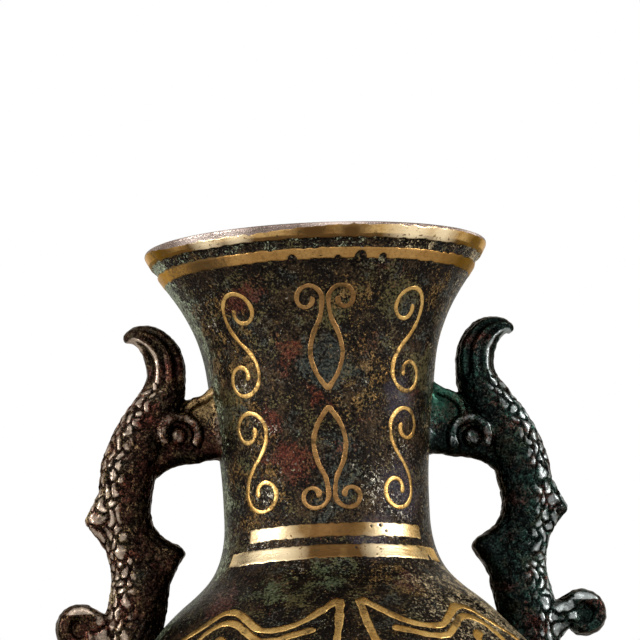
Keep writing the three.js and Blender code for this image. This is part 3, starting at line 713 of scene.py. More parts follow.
def wall_material(patina):
    """The wall: mottled black, brown and olive, with crust on the right and along its sides, there partly
    painted rim sheen.
    """
    material, t, shader = new_material("wall_bronze")
    place = t.object_place()
    ragged = t.strayed(place, 12.0, 13.0)
    height = t.axis(place, "Z")
    side = t.axis(t.vector("NORMALIZE", t.vector("MULTIPLY", place, (1, 1, 0))), "X")
    wander = t.math("SUBTRACT", t.speckle(place, 24.0, 4, 0.7), 0.5)
    upper = t.between(t.total(height, (wander, 0.08)), *UPPER_WALL)
    # Crust down the left and right edges, and on the right of the shoulder, also stands for light catching
    # those sides: partly crust, partly a painted rim sheen.
    wandering = t.total(side, (wander, 0.25))
    left = t.math("MULTIPLY", t.between(wandering, -0.91, -0.985), upper)
    right = t.math("MULTIPLY", t.between(wandering, 0.84, 0.97), upper)
    flared = t.between(height, *FLARED_MOUTH)
    shoulder = t.math("MULTIPLY", t.between(height, *SHOULDER_FOOT), t.between(height, *SHOULDER_TOP))
    mouth = t.by_drop(height, *MOUTH_CRUST)
    crust_and_rim_sheen = t.total(
        (t.math("MULTIPLY", left, flared), 0.14), (left, 0.24), (right, 0.16), (mouth, 0.13),
        (t.math("MULTIPLY", t.between(side, 0.2, 0.55), shoulder), 0.21), (t.near(place, CRUST_SPOTS), 0.5),
    )
    finish = t.group(patina, {
        "Dark": BLACK_BRONZE, "Brown": EARTH_BROWN, "Teal": TEAL,
        "Olive": t.mix(t.near(ragged, GREEN_SPOTS), OLIVE, GREEN),
        "Red": OXIDE_RED, "Flake": OCHRE, "Speck": PALE_GLINT,
        "Crust": t.mix(t.between(side, 0.1, 0.5), GREEN_CRUST, WARM_CRUST),
        "Olive Share": t.total((t.near(ragged, OLIVE_BLOOMS), 0.26), (left, 0.14), (right, 0.04), 0.38),
        "Teal Share": t.total((t.near(ragged, TEAL_BLOOMS), 0.24), (left, 0.14), (right, 0.14), 0.37),
        "Red Share": t.total((t.near(ragged, RED_BLOOMS), 0.38), 0.31),
        "Flake Share": t.total((t.near(ragged, OCHRE_AND_LIT_BLOOMS), 0.22), (right, 0.06), 0.32),
        "Crust Share": t.total(crust_and_rim_sheen, 0.22),
        # Pale specks, denser at the glint spots, are painted glints.
        "Speck Share": t.total((t.near(ragged, PAINTED_GLINTS), 0.16), 0.07), "Grain Size": 0.95,
    })
    lip = t.by_drop(t.total(height, (finish["Height"], LIP_RAGGED)), *LIP_BARE)
    # The bare lip, with painted highlights in spots.
    lip_color = t.mix(t.near(place, LIP_HIGHLIGHT_SPOTS), LIP_METAL, LIP_HIGHLIGHT_COLOR)
    # A painted sheen, a reflection on the dark gloss.
    violet = t.near(ragged, VIOLET_SHEEN_SPOTS)
    color = t.coated(finish["Color"], (violet, 0.55, VIOLET_SHEEN_COLOR), (lip, 0.85, lip_color))
    coat(t, shader, color, finish, 0.45)
    shader.inputs["Specular IOR Level"].default_value = 0.4
    shader.inputs["Specular Tint"].default_value = WALL_GLOSS
    return material


def handle_material(name, patina, colors, shares, crown_highlight, pale, pale_and_highlight_spots, root_color, root_spots):
    """A handle: dark in its hollows as patina and on its inner side as painted shade, with painted
    highlights on its crowns, pale where it stands out, partly crust and partly painted highlight,
    and with crust where it leaves the neck."""
    material, t, shader = new_material(name)
    place = t.object_place()
    relief_and_shade = t.attribute("relief_and_shade")
    # Pale crust where the handle stands out; at the right hook's tip and at the curls it is also a painted
    # highlight.
    pale_crust_and_highlight = t.near(place, pale_and_highlight_spots)
    finish = t.group(patina, {
        "Speck": PALE_GLINT, "Red": OXIDE_RED, "Crust": pale, **colors, **shares,
        "Crust Share": t.total((pale_crust_and_highlight, 0.45), 0.15), "Grain Size": 0.8,
    })
    root = t.near(place, root_spots)
    root = t.between(t.total(root, (finish["Height"], 1.6)), 1.75, 2.35)
    color = t.coated(finish["Color"], (root, 0.65, root_color))
    # Darker in the hollows, as patina, and on the inner side, as painted shade.
    color = t.mix(1.0, color, t.between(relief_and_shade, 0.08, 0.72, 0.12, 1.0), "MULTIPLY")
    # Painted highlights: the highest crowns of the carving take a pale glinting colour.
    crown = t.total(relief_and_shade, (t.speckle(place, 2.6, 4, 0.75, 0.5), 0.5))
    color = t.mix(t.between(crown, 1.08, 1.28, 0.0, 0.85), color, crown_highlight)
    coat(t, shader, color, finish, 0.08)
    metal = t.math("ADD", finish["Metallic"], 0.12, clamp=True)
    t.feed(shader.inputs["Metallic"], metal)
    shader.inputs["Specular IOR Level"].default_value = 0.3
    shader.inputs["Specular Tint"].default_value = HANDLE_GLOSS
    return material


def gold_material(name, beaten, bright, deep, stain_share, tarnish_and_shade_spots=(), highlight_spots=(), fold_shade_drop=0):
    """Gold strip or wire: darker in some spots, where tarnished and where painted shade falls, and with
    painted highlights in others. Below a fold, which lies at a drop, it has painted shade."""
    material, t, shader = new_material(name)
    place = t.object_place()
    # Tarnished spots; on the collars they are painted shade in the middle of the front.
    tarnish_and_shade_mask = t.near(place, tarnish_and_shade_spots) if tarnish_and_shade_spots else 0.0
    # Below the rim's fold its lower facet gets painted shade.
    if fold_shade_drop:
        low = t.by_drop(t.axis(place, "Z"), fold_shade_drop - 0.3, fold_shade_drop + 0.3)
        tarnish_and_shade_mask = t.math("MAXIMUM", tarnish_and_shade_mask, t.math("MULTIPLY", low, 0.75))
    finish = t.group(beaten, {
        "Bright": bright, "Deep": deep, "Aged And Shaded": AGED_AND_SHADED_GOLD, "Stain": STAINED_GOLD,
        "Stain Share": stain_share, "Worn": t.attribute("worn"), "Tarnish And Shade": tarnish_and_shade_mask,
    })
    color = finish["Color"]
    # Painted highlights on the clean gold, in spots.
    if highlight_spots:
        clean = t.between(finish["Metallic"], 0.85, 1.0)
        highlighted = t.math("MULTIPLY", t.near(place, highlight_spots), clean)
        color = t.mix(t.between(highlighted, 0.0, 0.8, 0.0, 0.8), color, GOLD_HIGHLIGHT)
    coat(t, shader, color, finish, 0.16)
    shader.inputs["Specular Tint"].default_value = GOLD_GLOSS
    return material


# Wall, foot and plate


def wall_outline():
    """Outline of the wall: up the outside, over the half-round lip and down the inside."""
    drops = list(np.linspace(LIP_EDGE, 14, 26)) + list(np.linspace(14.8, HEIGHT - FOOT_HEIGHT, 232))
    outside = []
    for drop in reversed(drops):
        z = HEIGHT - drop
        slope = wall_slope(z)
        across = 1 / math.hypot(1, slope)
        furrow = smooth(FURROW_TOP - 0.25, FURROW_TOP + 0.15, drop)
        furrow = furrow * (1 - smooth(FURROW_BOTTOM - 0.15, FURROW_BOTTOM + 0.25, drop))
        out = -FURROW_DEPTH * furrow
        outside.append((wall_radius(z) + out * across, z - out * slope * across))
    middle = (outside[-1][0] - LIP_EDGE, outside[-1][1])
    lip = []
    for k in range(1, LIP_STEPS):
        angle = math.pi * k / LIP_STEPS
        lip.append((middle[0] + LIP_EDGE * math.cos(angle), middle[1] + LIP_EDGE * math.sin(angle)))
    inside = []
    for drop in np.linspace(LIP_EDGE, HEIGHT - FOOT_HEIGHT, 70):
        z = HEIGHT - drop
        wall = WALL + (LIP_WALL - WALL) * max(0, 1 - drop / LIP_TAPER)
        inside.append((wall_radius(z) - wall * math.hypot(1, wall_slope(z)), z))
    return outside + lip + inside


def rounded(corners, size, steps=4):
    """A closed outline whose corners are rounded off by size, or by less on a short side."""
    outline = []
    count = len(corners)
    for i in range(count):
        here = Vector(corners[i])
        back = Vector(corners[i - 1]) - here
        ahead = Vector(corners[(i + 1) % count]) - here
        reach = min(size, back.length * 0.45, ahead.length * 0.45)
        start = here + back.normalized() * reach
        end = here + ahead.normalized() * reach
        for k in range(steps + 1):
            t = k / steps
            outline.append(start * (1 - t) ** 2 + here * 2 * t * (1 - t) + end * t * t)
    return [(p.x, p.y) for p in outline]


def foot_outline():
    """Outline of the foot ring: plinth with the band's seat, concave flare and inner ledge."""
    top = FOOT_HEIGHT - SEAT_GAP
    shoulder = FOOT_RADIUS - PLINTH_STEP
    flare = []
    for t in np.linspace(0, 1, 14):
        a = Vector((shoulder, PLINTH_HEIGHT))
        b = Vector((shoulder - PLINTH_STEP, PLINTH_HEIGHT * 1.8))
        c = Vector((FOOT_NECK_RADIUS, top - PLINTH_HEIGHT))
        d = Vector((FOOT_NECK_RADIUS, top))
        point = a * (1 - t) ** 3 + b * 3 * t * (1 - t) ** 2 + c * 3 * t * t * (1 - t) + d * t**3
        flare.append((point.x, point.y))
    ledge = top - PLATE_THICKNESS - SEAT_GAP
    corners = [
        (FOOT_RADIUS - FOOT_WALL, 0), (FOOT_RADIUS, 0),
        (FOOT_RADIUS, PLINTH_HEIGHT - PLINTH_STEP / 2), *flare,
        (PLATE_RADIUS + SEAT_GAP, top), (PLATE_RADIUS + SEAT_GAP, ledge),
        (PLATE_RADIUS - WALL, ledge), (PLATE_RADIUS - WALL, ledge - PLATE_THICKNESS),
    ]
    return rounded(corners, 0.8)


def make_wall(material):
    bm = spun(wall_outline(), WALL_TURNS)
    uneven(bm)
    piece("cast_wall", bm, material, ["vase_body"])


def make_foot(material):
    bm = spun(foot_outline(), FOOT_TURNS)
    uneven(bm, 0.6)
    piece("spread_foot", bm, material, ["foot_ring"])
    top = FOOT_HEIGHT - SEAT_GAP
    plate = rounded([
        (0.01, top - PLATE_THICKNESS), (PLATE_RADIUS, top - PLATE_THICKNESS),
        (PLATE_RADIUS, top), (0.01, top),
    ], 0.5)
    bm = spun(plate, PLATE_TURNS)
    piece("closing_plate", bm, material, ["base_plate"])


# Gold bands

# Nicks in the bands' edges: turn, drop and size.
NICKS = {
    "rim_band": [(-29, 2.4, 1.0), (-34, 2.2, 0.8)],
    "mouth_band": [
        (-15.2, 12.8, 1.9), (1.7, 13.0, 1.4), (10.3, 12.5, 2.5), (19, 12.6, 1.7), (-4.5, 11.9, 0.4),
    ],
    "collar_upper_front": [(18, 111.4, 0.5), (23.6, 111.0, 0.65), (26.8, 113.2, 0.5)],
    "collar_lower_front": [(-13, 123.4, 0.5), (8, 119.6, 0.5), (55, 122.6, 1.2)],
}

# Long worn stretches: the turns they run between, and how worn they are.
WORN_RUNS = {
    "mouth_band": [(-75, -41, 0.47)],
    "rim_band": [(-80, -58, 0.36)],
}


def wear_at(node, turn, drop):
    """1 inside a nick of a band and 0 outside it."""
    worn = 0.0
    for nick_turn, nick_drop, size in NICKS.get(node, []):
        across = math.radians(turn - nick_turn) * wall_radius(HEIGHT - drop)
        far = math.hypot(across, drop - nick_drop) / size
        worn = max(worn, float(1 - smooth(0.7, 1.2, far)))
    return worn


def worn_run(node, turn):
    run = 0.0
    for start, end, depth in WORN_RUNS.get(node, []):
        run = max(run, depth * float(smooth(start - 4, start, turn) * (1 - smooth(end - 0.4, end, turn))))
    return run


def make_band(node, drop, width, material, reach=FULL_TURN, shift=0):
    """A gold strip round the wall, a little ragged along its edges and sunk at its nicks. On the
    left the rim's upper edge has slipped down."""
    full = reach == FULL_TURN
    along = int(reach * 2.9)

    def place(u, v):
        turn = shift - reach + 2 * reach * u
        angle = math.radians(turn)
        ragged = noise.noise(Vector((math.sin(angle) * 22, math.cos(angle) * 22, v * 3 + drop)))
        ragged *= BAND_RAGGED
        edge = abs(2 * v - 1)
        here = drop + width * v + ragged * edge
        if node == "rim_band":
            here += RIM_SLIP * (1 - v) * float(smooth(-85, -60, turn) * (1 - smooth(-30, 5, turn)))
        lift = BAND_RISE - BAND_EDGE_SINK * max(edge - 0.8, 0) / 0.2
        if not full:
            near_end = min(u, 1 - u) * 2 * math.radians(reach) * wall_radius(HEIGHT - drop)
            lift -= BAND_EDGE_SINK * float(1 - smooth(0.0, 0.5, near_end))
        lift -= NICK_DEPTH * wear_at(node, turn, here)
        return on_wall(turn, HEIGHT - here, lift)

    bm = woven(along, 14, place, ring=full)
    thicken(bm, BAND_THICKNESS)
    worn = []
    for v in bm.verts:
        turn = turn_of(v.co)
        here = HEIGHT - v.co.z
        edge = max(0.0, (abs(2 * (here - drop) / width - 1) - 0.78) / 0.22)
        worn.append(min(1.0, max(wear_at(node, turn, here), worn_run(node, turn) + 0.5 * edge)))
    obj = piece("gold_" + node, bm, material, [node])
    mark(obj.data, "worn", worn)


def make_foot_band(material):
    """The gold strip round the foot's plinth."""
    def place(u, v):
        angle = 2 * math.pi * u
        edge = abs(2 * v - 1)
        z = FOOT_BAND_HEIGHT + FOOT_BAND_WIDTH * v
        z += 0.4 * edge * noise.noise(Vector((math.sin(angle) * 22, math.cos(angle) * 22, v * 3)))
        r = FOOT_RADIUS - 0.1 - 0.2 * max(edge - 0.8, 0) / 0.2
        r += 0.6 * casting(math.degrees(angle), z) + 0.2
        return Vector((r * math.sin(angle), -r * math.cos(angle), z))

    bm = woven(520, 10, place, ring=True)
    thicken(bm, BAND_THICKNESS)
    edges = [abs(2 * (v.co.z - FOOT_BAND_HEIGHT) / FOOT_BAND_WIDTH - 1) for v in bm.verts]
    obj = piece("gold_foot_band", bm, material, ["foot_band"])
    mark(obj.data, "worn", [0.5 * max(0.0, (edge - 0.78) / 0.22) for edge in edges])


# Gold wires


def wire(path, width):
    """One hammered wire along a path of turn and drop: a strip with round ends."""
    start = np.array([on_wall(turn, HEIGHT - drop, 0) for turn, drop in path])
    reach = lengths(start)
    length = float(reach[-1])
    count = max(8, int(length / WIRE_STEP))
    places = np.linspace(0, length, count + 1)
    line = np.stack([np.interp(places, reach, np.asarray(path)[:, k]) for k in (0, 1)], axis=1)
    middles = [on_wall(turn, HEIGHT - drop, 0) for turn, drop in line]
    seed = float(line[0][0] + 2 * line[0][1])

    def place(u, v):
        i = min(count, round(u * count))
        before = middles[max(i - 1, 0)]
        after = middles[min(i + 1, count)]
        normal = wall_normal(line[i][0], HEIGHT - line[i][1])
        side = normal.cross(after - before).normalized()
        end = min(places[i], length - places[i])
        # The width wavers, rounds off at the ends and swells just before them.
        half = width / 2 * (1 + 0.3 * noise.noise(Vector((places[i] / 3.2, seed, 0.4))))
        half *= math.sqrt(max(0.02, 1 - max(0, 1 - end / half) ** 2))
        half *= 1 + 0.22 * math.exp(-((end / (1.2 * width) - 0.8) ** 2) * 3)
        across = 2 * v - 1
        ragged = 1 + 0.14 * noise.noise(Vector((places[i] / 0.9, seed, across * 2)))
        lift = WIRE_RISE * (1 - 0.5 * across**4) - 0.12 * (end < 0.3)
        return middles[i] + side * (across * half * ragged) + normal * lift

    return woven(count, 6, place)


def make_wires(node, paths, width, material):
    """Several wires as one piece, dull in scattered places."""
    parts = []
    for path in paths:
        bm = wire(path, width)
        thicken(bm, WIRE_THICKNESS)
        parts.append(bm)
    obj = piece("gold_" + node, joined(parts), material, [node])
    scatter = [0.42 + 0.5 * noise.noise(v.co * 210) for v in obj.data.vertices]
    mark(obj.data, "worn", [max(0.0, s) * 0.75 for s in scatter])


def coil(middle, radius, end_angle, hand):
    """A coil on a flat sheet, from its eye outward."""
    steps = 14
    sweep = 390
    path = []
    for k in range(steps + 1):
        t = k / steps
        angle = math.radians(end_angle - hand * sweep * (1 - t))
        reach = radius * (0.3 + 0.7 * t)
        path.append((middle[0] + reach * math.cos(angle), middle[1] + reach * math.sin(angle)))
    return path


def side_scroll():
    """An S that coils at both ends, in shares of its height."""
    half = [*coil((0.06, 0.3), 0.2, 180, 1), (-0.12, 0.17), (-0.045, 0.05)]
    return [half + [(-x, -y) for x, y in reversed(half)]]


def middle_scroll():
    """A lyre of two arms that meet at the foot and coil outward at the top."""
    arm = [
        *coil((0.17, 0.36), 0.14, 180, 1),
        (0.05, 0.2), (0.12, 0.04), (0.15, -0.14), (0.1, -0.32), (-0.01, -0.48),
    ]
    return [arm, [(-x, y) for x, y in arm]]


def neck_paths(paths, turn, drop, hand, up):
    """Neck scrolls in shares of their height, as paths of turn and drop."""
    laid = []
    for path in paths:
        line = []
        for x, y in smoothed(path, 0.012):
            here = drop - up * y * NECK_SCROLL_HEIGHT
            across = hand * x * NECK_SCROLL_WIDTH / NECK_SCROLL_SPREAD
            line.append((turn + math.degrees(across / wall_radius(HEIGHT - here)), here))
        laid.append(line)
    return laid


CREST_LINE = [
    (0.05, 0), (0.14, 0.07), (0.24, 0.144), (0.34, 0.18), (0.43, 0.172), (0.52, 0.1), (0.6, 0.048),
    (0.69, 0.05), (0.78, 0.12), (0.9, 0.22), (0.97, 0.38), (0.9, 0.6), (0.74, 0.72), (0.6, 0.84),
    (0.64, 0.97), (0.78, 0.97), (0.78, 0.86),
]
FALL_LINE = [
    (0.05, 0), (0.065, 0.16), (0.09, 0.34), (0.1, 0.54), (0.08, 0.74), (0.11, 0.9), (0.22, 0.97),
    (0.31, 0.88), (0.25, 0.79), (0.19, 0.85),
]
BROW_LINE = [
    (0.17, 0.19), (0.26, 0.22), (0.34, 0.245), (0.42, 0.24), (0.5, 0.175), (0.58, 0.118),
    (0.66, 0.115), (0.73, 0.17), (0.75, 0.27), (0.69, 0.34), (0.61, 0.32), (0.58, 0.25), (0.64, 0.2),
]
JAW_LINE = [
    (0.18, 0.36), (0.2, 0.54), (0.32, 0.7), (0.46, 0.68), (0.51, 0.56), (0.42, 0.47), (0.34, 0.53),
    (0.39, 0.6),
]


def shoulder_path(points, hand, shift):
    line = smoothed(points, 0.012)
    return [(shift + hand * x * SCROLL_TURN, SCROLL_TOP_DROP + y * SCROLL_DEPTH) for x, y in line]


def make_neck_scrolls(shift, face, bright_wire, dull_wire):
    for column, step in (("left", -1), ("middle", 0), ("right", 1)):
        for row, down in (("upper", 0), ("lower", 1)):
            turn = shift + NECK_COLUMN_SHIFT + step * NECK_COLUMN_PITCH
            drop = NECK_TOP_ROW_DROP + down * NECK_ROW_PITCH
            paths = middle_scroll() if step == 0 else side_scroll()
            laid = neck_paths(paths, turn, drop, -1 if step > 0 else 1, -1 if down else 1)
            material = dull_wire if step == 0 else bright_wire
            make_wires(f"neck_scroll_{column}_{row}_{face}", laid, NECK_WIRE, material)


def make_shoulder_scrolls(shift, face, material):
    for side, hand in (("left", -1), ("right", 1)):
        lines = {
            "crest_line": [CREST_LINE, FALL_LINE],
            "brow_scroll": [BROW_LINE],
            "jaw_scroll": [JAW_LINE],
        }
        for name, drawn in lines.items():
            laid = [shoulder_path(line, hand, shift) for line in drawn]
            make_wires(f"shoulder_{name}_{side}_{face}", laid, SHOULDER_WIRE, material)


# Handles


def edged(rows):
    """Rows of radius, drop, width and thickness as rows of two edges and a thickness."""
    along = directions(rows, TINY)
    across = np.stack([-along[:, 1], along[:, 0]], axis=1) * rows[:, 2:3] / 2
    return np.hstack([rows[:, :2] + across, rows[:, :2] - across, rows[:, 3:4]])


def tube(rows, sides, squareness=0.8):
    """A closed tube in the handle's plane through rows of two edges and a thickness."""
    count = len(rows) - 1

    def place(u, v):
        r1, d1, r2, d2, thickness = rows[min(count, round(u * count))]
        angle = 2 * math.pi * v
        across = math.copysign(abs(math.cos(angle)) ** squareness, math.cos(angle))
        radius = (r1 + r2) / 2 + across * (r1 - r2) / 2
        drop = (d1 + d2) / 2 + across * (d1 - d2) / 2
        return Vector((radius, math.sin(angle) * thickness / 2, HEIGHT - drop))

    return woven(count, sides, place, capped=True)


def cord(line, thickness, face):
    """A round cord on one face of the strut: rows of radius, drop and how far off the face."""
    count = len(line) - 1
    along = directions(line, TINY)

    def place(u, v):
        i = min(count, round(u * count))
        angle = 2 * math.pi * v
        reach = thickness * (1.1 - 0.3 * u)
        radius = line[i, 0] - along[i, 1] * reach * math.cos(angle)
        drop = line[i, 1] + along[i, 0] * reach * math.cos(angle)
        y = STRUT_HALF + line[i, 2] + reach * math.sin(angle)
        return Vector((radius, face * y, HEIGHT - drop))

    return woven(count, 12, place, capped=True)


def dome(radius, drop, y, wide, thick):
    """A flattened ball in the handle's plane."""
    bm = bmesh.new()
    bmesh.ops.create_uvsphere(bm, u_segments=24, v_segments=16, radius=1)
    bmesh.ops.scale(bm, vec=(wide, thick, wide), verts=bm.verts[:])
    bmesh.ops.translate(bm, vec=(radius, y, HEIGHT - drop), verts=bm.verts[:])
    return bm


def volute_line(drop):
    """The cord of the volute: from the neck's side over the top and out on the handle's body."""
    line = []
    for u in np.linspace(0, 1, 50):
        angle = math.radians(218 - 252 * u)
        reach = VOLUTE_SIZE * (1.08 - 0.02 * u)
        line.append((
            VOLUTE_RADIUS + reach * math.cos(angle), drop - reach * math.sin(angle),
            0.6 + 3.2 * smooth(0.35, 0.8, u),
        ))
    return np.array(line)


def curl_rows():
    """The curl off the shoulder: out of the stem, over the top and round under to its eye."""
    rows = [
        (CURL_RADIUS - 17, CURL_DROP + 5, 17, 14.4),
        (CURL_RADIUS - 9.6, CURL_DROP + 0.4, 12.8, 14.8),
    ]
    for t in np.linspace(0, 1, 22):
        angle = math.radians(130 - 400 * t)
        radius = CURL_SIZE * (0.64 - 0.4 * t * t)
        thin = 1 - 0.42 * t
        rows.append((
            CURL_RADIUS + radius * math.cos(angle), CURL_DROP - radius * math.sin(angle),
            CURL_SIZE * 0.76 * thin, CURL_THICKNESS * (1 - 0.25 * t),
        ))
    return rows


def fused(parts):
    """One skin round several overlapping closed meshes."""
    bm = joined(parts)
    mesh = bpy.data.meshes.new("handle_parts")
    bm.to_mesh(mesh)
    bm.free()
    obj = bpy.data.objects.new("handle_parts", mesh)
    bpy.context.scene.collection.objects.link(obj)
    remesh = obj.modifiers.new("skin", "REMESH")
    remesh.mode = "VOXEL"
    remesh.voxel_size = HANDLE_VOXEL
    relax = obj.modifiers.new("relax", "SMOOTH")
    relax.factor = 0.5
    relax.iterations = 6
    graph = bpy.context.evaluated_depsgraph_get()
    skin = bpy.data.meshes.new_from_object(obj.evaluated_get(graph))
    bpy.data.objects.remove(obj)
    bpy.data.meshes.remove(mesh)
    return skin


def spine_places(points):
    """For each point: length down the spine, place across it from -1 inside to 1 outside, length
    round it, and how far out of the section it lies, where 1 is its skin."""
    line = dense(SPINE, 400)
    reach = lengths(line[:, :2])
    along = directions(line)
    flat = np.stack([points[:, 0], HEIGHT - points[:, 2]], axis=1)
    nearest = np.empty(len(points), int)
    for start in range(0, len(points), 8000):
        chunk = flat[start:start + 8000, None, :] - line[None, :, :2]
        nearest[start:start + 8000] = np.argmin((chunk**2).sum(axis=2), axis=1)
    off = flat - line[nearest, :2]
    tangent = along[nearest]
    across = off[:, 0] * tangent[:, 1] - off[:, 1] * tangent[:, 0]
    half_width = line[nearest, 2] / 2
    half_thickness = line[nearest, 3] / 2
    angle = np.arctan2(points[:, 1] / half_thickness, across / half_width)
    out = np.hypot(across / half_width, points[:, 1] / half_thickness)
    around = angle * (half_width + half_thickness) / 2
    return reach[nearest], across / half_width, around, out


def fish_scales(along, around):
    """Rows of overlapping round scales: domes from 0 in the grooves between them to 1."""
    row_now = np.floor(along / SCALE_LENGTH)
    height = np.zeros(len(along))
    done = np.zeros(len(along), bool)
    for back in (1, 0):
        row = row_now - back
        u = along / SCALE_LENGTH - row
        cell = around / SCALE_WIDTH + 0.5 * (row % 2)
        v = 2 * (cell - np.floor(cell)) - 1
        tip = 0.95 + 0.8 * np.sqrt(np.clip(1 - v * v, 0, 1))
        inside = (u < tip) & ~done
        free_edge = 1 - smooth(0.72, 1.0, u / tip)
        flank = 1 - smooth(0.78, 1.0, np.abs(v)) * smooth(0.9, 1.3, tip)
        crown = 1 - 0.3 * v * v - 0.25 * (1 - np.clip(u / tip, 0, 1)) ** 2
        height = np.where(inside, crown * free_edge * flank, height)
        done |= inside
    return height


def carved(points, seed, volute_drop):
    """How the handle's skin is carved: the push along its normals, and its height in the carving with
    painted shade and light, from 0 to 1.
    """
    along, across, around, out = spine_places(points)
    drop = HEIGHT - points[:, 2]
    places = [Vector(p) for p in points]
    drift = np.array([noise.noise(p / 7 + Vector((seed, 0, 0))) for p in places])
    sway = np.array([noise.noise(p / 6 + Vector((0, seed, 5))) for p in places])
    dent = np.array([noise.noise(p / 2.2 + Vector((5, 0, seed))) for p in places])
    # The body is carved, but not the parts that stand off it, nor the place under the volute.
    spread = 0.5 * smooth(0, 0.6, across)
    on_body = 1 - smooth(1.12 + spread, 1.3 + spread, out)
    from_volute = np.hypot(points[:, 0] - VOLUTE_RADIUS, drop - volute_drop)
    on_body *= 1 - (1 - smooth(8.6, 9.6, from_volute)) * smooth(7.4, 8.2, np.abs(points[:, 1]))
    below = smooth(CREST_END_DROP - 3, CREST_END_DROP + 5, drop)
    # Scales cover it below the hook, and ridges run along the hook's sides.
    scaled = on_body * below
    scales = fish_scales(along + 3 * drift + 0.8 * dent + seed, around + 2.8 * sway)
    # The inner side is darkened as painted shade.
    outer = 0.35 + 0.65 * smooth(-0.45, 0.45, across)
    crest = on_body * (1 - below) * smooth(2, 9, along) * smooth(2.4, 4.8, np.abs(points[:, 1]))
    ridges = 0.5 + 0.5 * np.cos(2 * math.pi * (across - 0.55) / 0.66)
    # What isn't carved has painted shade in its middle, and painted light towards its faces and the hook's
    # tip.
    plain = 0.34 + 0.66 * smooth(STRUT_HALF - 0.2, STRUT_HALF + 2.4, np.abs(points[:, 1]))
    plain = np.where(drop > LOBE[0][3], np.minimum(plain, 0.66), plain)
    plain = np.maximum(plain, 1 - smooth(7, 21, along))
    relief_and_shade = plain * (1 - scaled - crest) + scaled * scales + crest * ridges
    # The strut and the hook's sides keep more painted light on their inner side, for painted glints on the
    # volute and ridges.
    strut = (1 - on_body) * (1 - smooth(86, 94, drop))
    relief_and_shade *= outer + (1 - outer) * (0.76 * strut + 0.5 * crest)
    push = SCALE_RISE * scaled * outer * (scales - 0.8)
    push += RIDGE_DEPTH * crest * (ridges - 0.85)
    push += 0.35 * drift + 0.3 * dent
    return push, np.clip(relief_and_shade, 0, 1)


def vectors(rows, key):
    """One vector of each row of a mesh's data, as an array."""
    flat = np.empty(len(rows) * 3)
    rows.foreach_get(key, flat)
    return flat.reshape(-1, 3)


def make_handle(name, node, material, hand, seed, volute_drop):
    """A handle: hook, scaled body, spike, lobe, strut and volute, curl, all in one casting."""
    parts = [
        tube(edged(dense(SPINE, 90)), 40), tube(dense(SPIKE, 30), 24), tube(dense(LOBE, 34), 28),
        tube(dense(STRUT, 40), 36, 0.5), tube(edged(dense(curl_rows(), 90)), 24),
        dome(CURL_RADIUS, CURL_DROP + 0.4, 0, 5.2, 5.4),
    ]
    rim = dense([(r, d, 0) for r, d in STRUT_RIM], 30)
    for face in (1, -1):
        parts.append(cord(volute_line(volute_drop), VOLUTE_WIRE, face))
        parts.append(cord(rim, 1.9, face))
        parts.append(dome(VOLUTE_RADIUS + 1, volute_drop + 0.4, face * STRUT_HALF, 3.7, 3.1))
    skin = fused(parts)
    points = vectors(skin.vertices, "co")
    normals = vectors(skin.vertex_normals, "vector")
    push, relief_and_shade = carved(points, seed, volute_drop)
    points = points + normals * push[:, None]

    heights = np.linspace(FOOT_HEIGHT, HEIGHT, 700)
    radii = [wall_radius(z) for z in heights]
    limit = np.interp(points[:, 2], heights, radii) - HANDLE_SINK
    radius = np.hypot(points[:, 0], points[:, 1])
    points[:, :2] *= hand * np.maximum(1, limit / np.maximum(radius, 1))[:, None]
    skin.vertices.foreach_set("co", (points * MM).ravel())
    mark(skin, "relief_and_shade", relief_and_shade)
    skin.name = name
    skin.update()
    placed(name, skin, material, [node])


# Setting


def make_floor():
    """A pale round floor under the vase."""
    bm = bmesh.new()
    bmesh.ops.create_circle(bm, cap_ends=True, segments=96, radius=FLOOR_RADIUS)
    mesh = bpy.data.meshes.new("floor")
    bm.to_mesh(mesh)
    bm.free()
    floor = bpy.data.objects.new("floor", mesh)
    bpy.context.scene.collection.objects.link(floor)
    material, _, shader = new_material("floor_paint")
    shader.inputs["Base Color"].default_value = (0.82, 0.82, 0.81, 1)
    shader.inputs["Roughness"].default_value = 0.6
    floor.data.materials.append(material)


def make_sky(level):
    """White to the camera and in reflections, and a soft even light of the given level."""
    world = bpy.data.worlds.new("studio")
    bpy.context.scene.world = world
    world.use_nodes = True
    t = Tree(world.node_tree)
    rays = t.node("ShaderNodeLightPath", {}).outputs
    seen = t.math("MAXIMUM", rays["Is Camera Ray"], rays["Is Glossy Ray"])
    seen = t.math("MAXIMUM", seen, rays["Is Transmission Ray"])
    background = world.node_tree.nodes["Background"]
    t.feed(background.inputs["Color"], (1, 1, 1))
    t.feed(background.inputs["Strength"], t.between(seen, 0.0, 1.0, level, 1.0))


def make_light(name, place, aim, width, height, power):
    lamp = bpy.data.lights.new(name, "AREA")
    lamp.shape = "RECTANGLE"
    lamp.size = width
    lamp.size_y = height
    lamp.energy = power
    obj = bpy.data.objects.new(name, lamp)
    obj.location = place
    obj.rotation_euler = (Vector(aim) - Vector(place)).to_track_quat("-Z", "Y").to_euler()
    bpy.context.scene.collection.objects.link(obj)


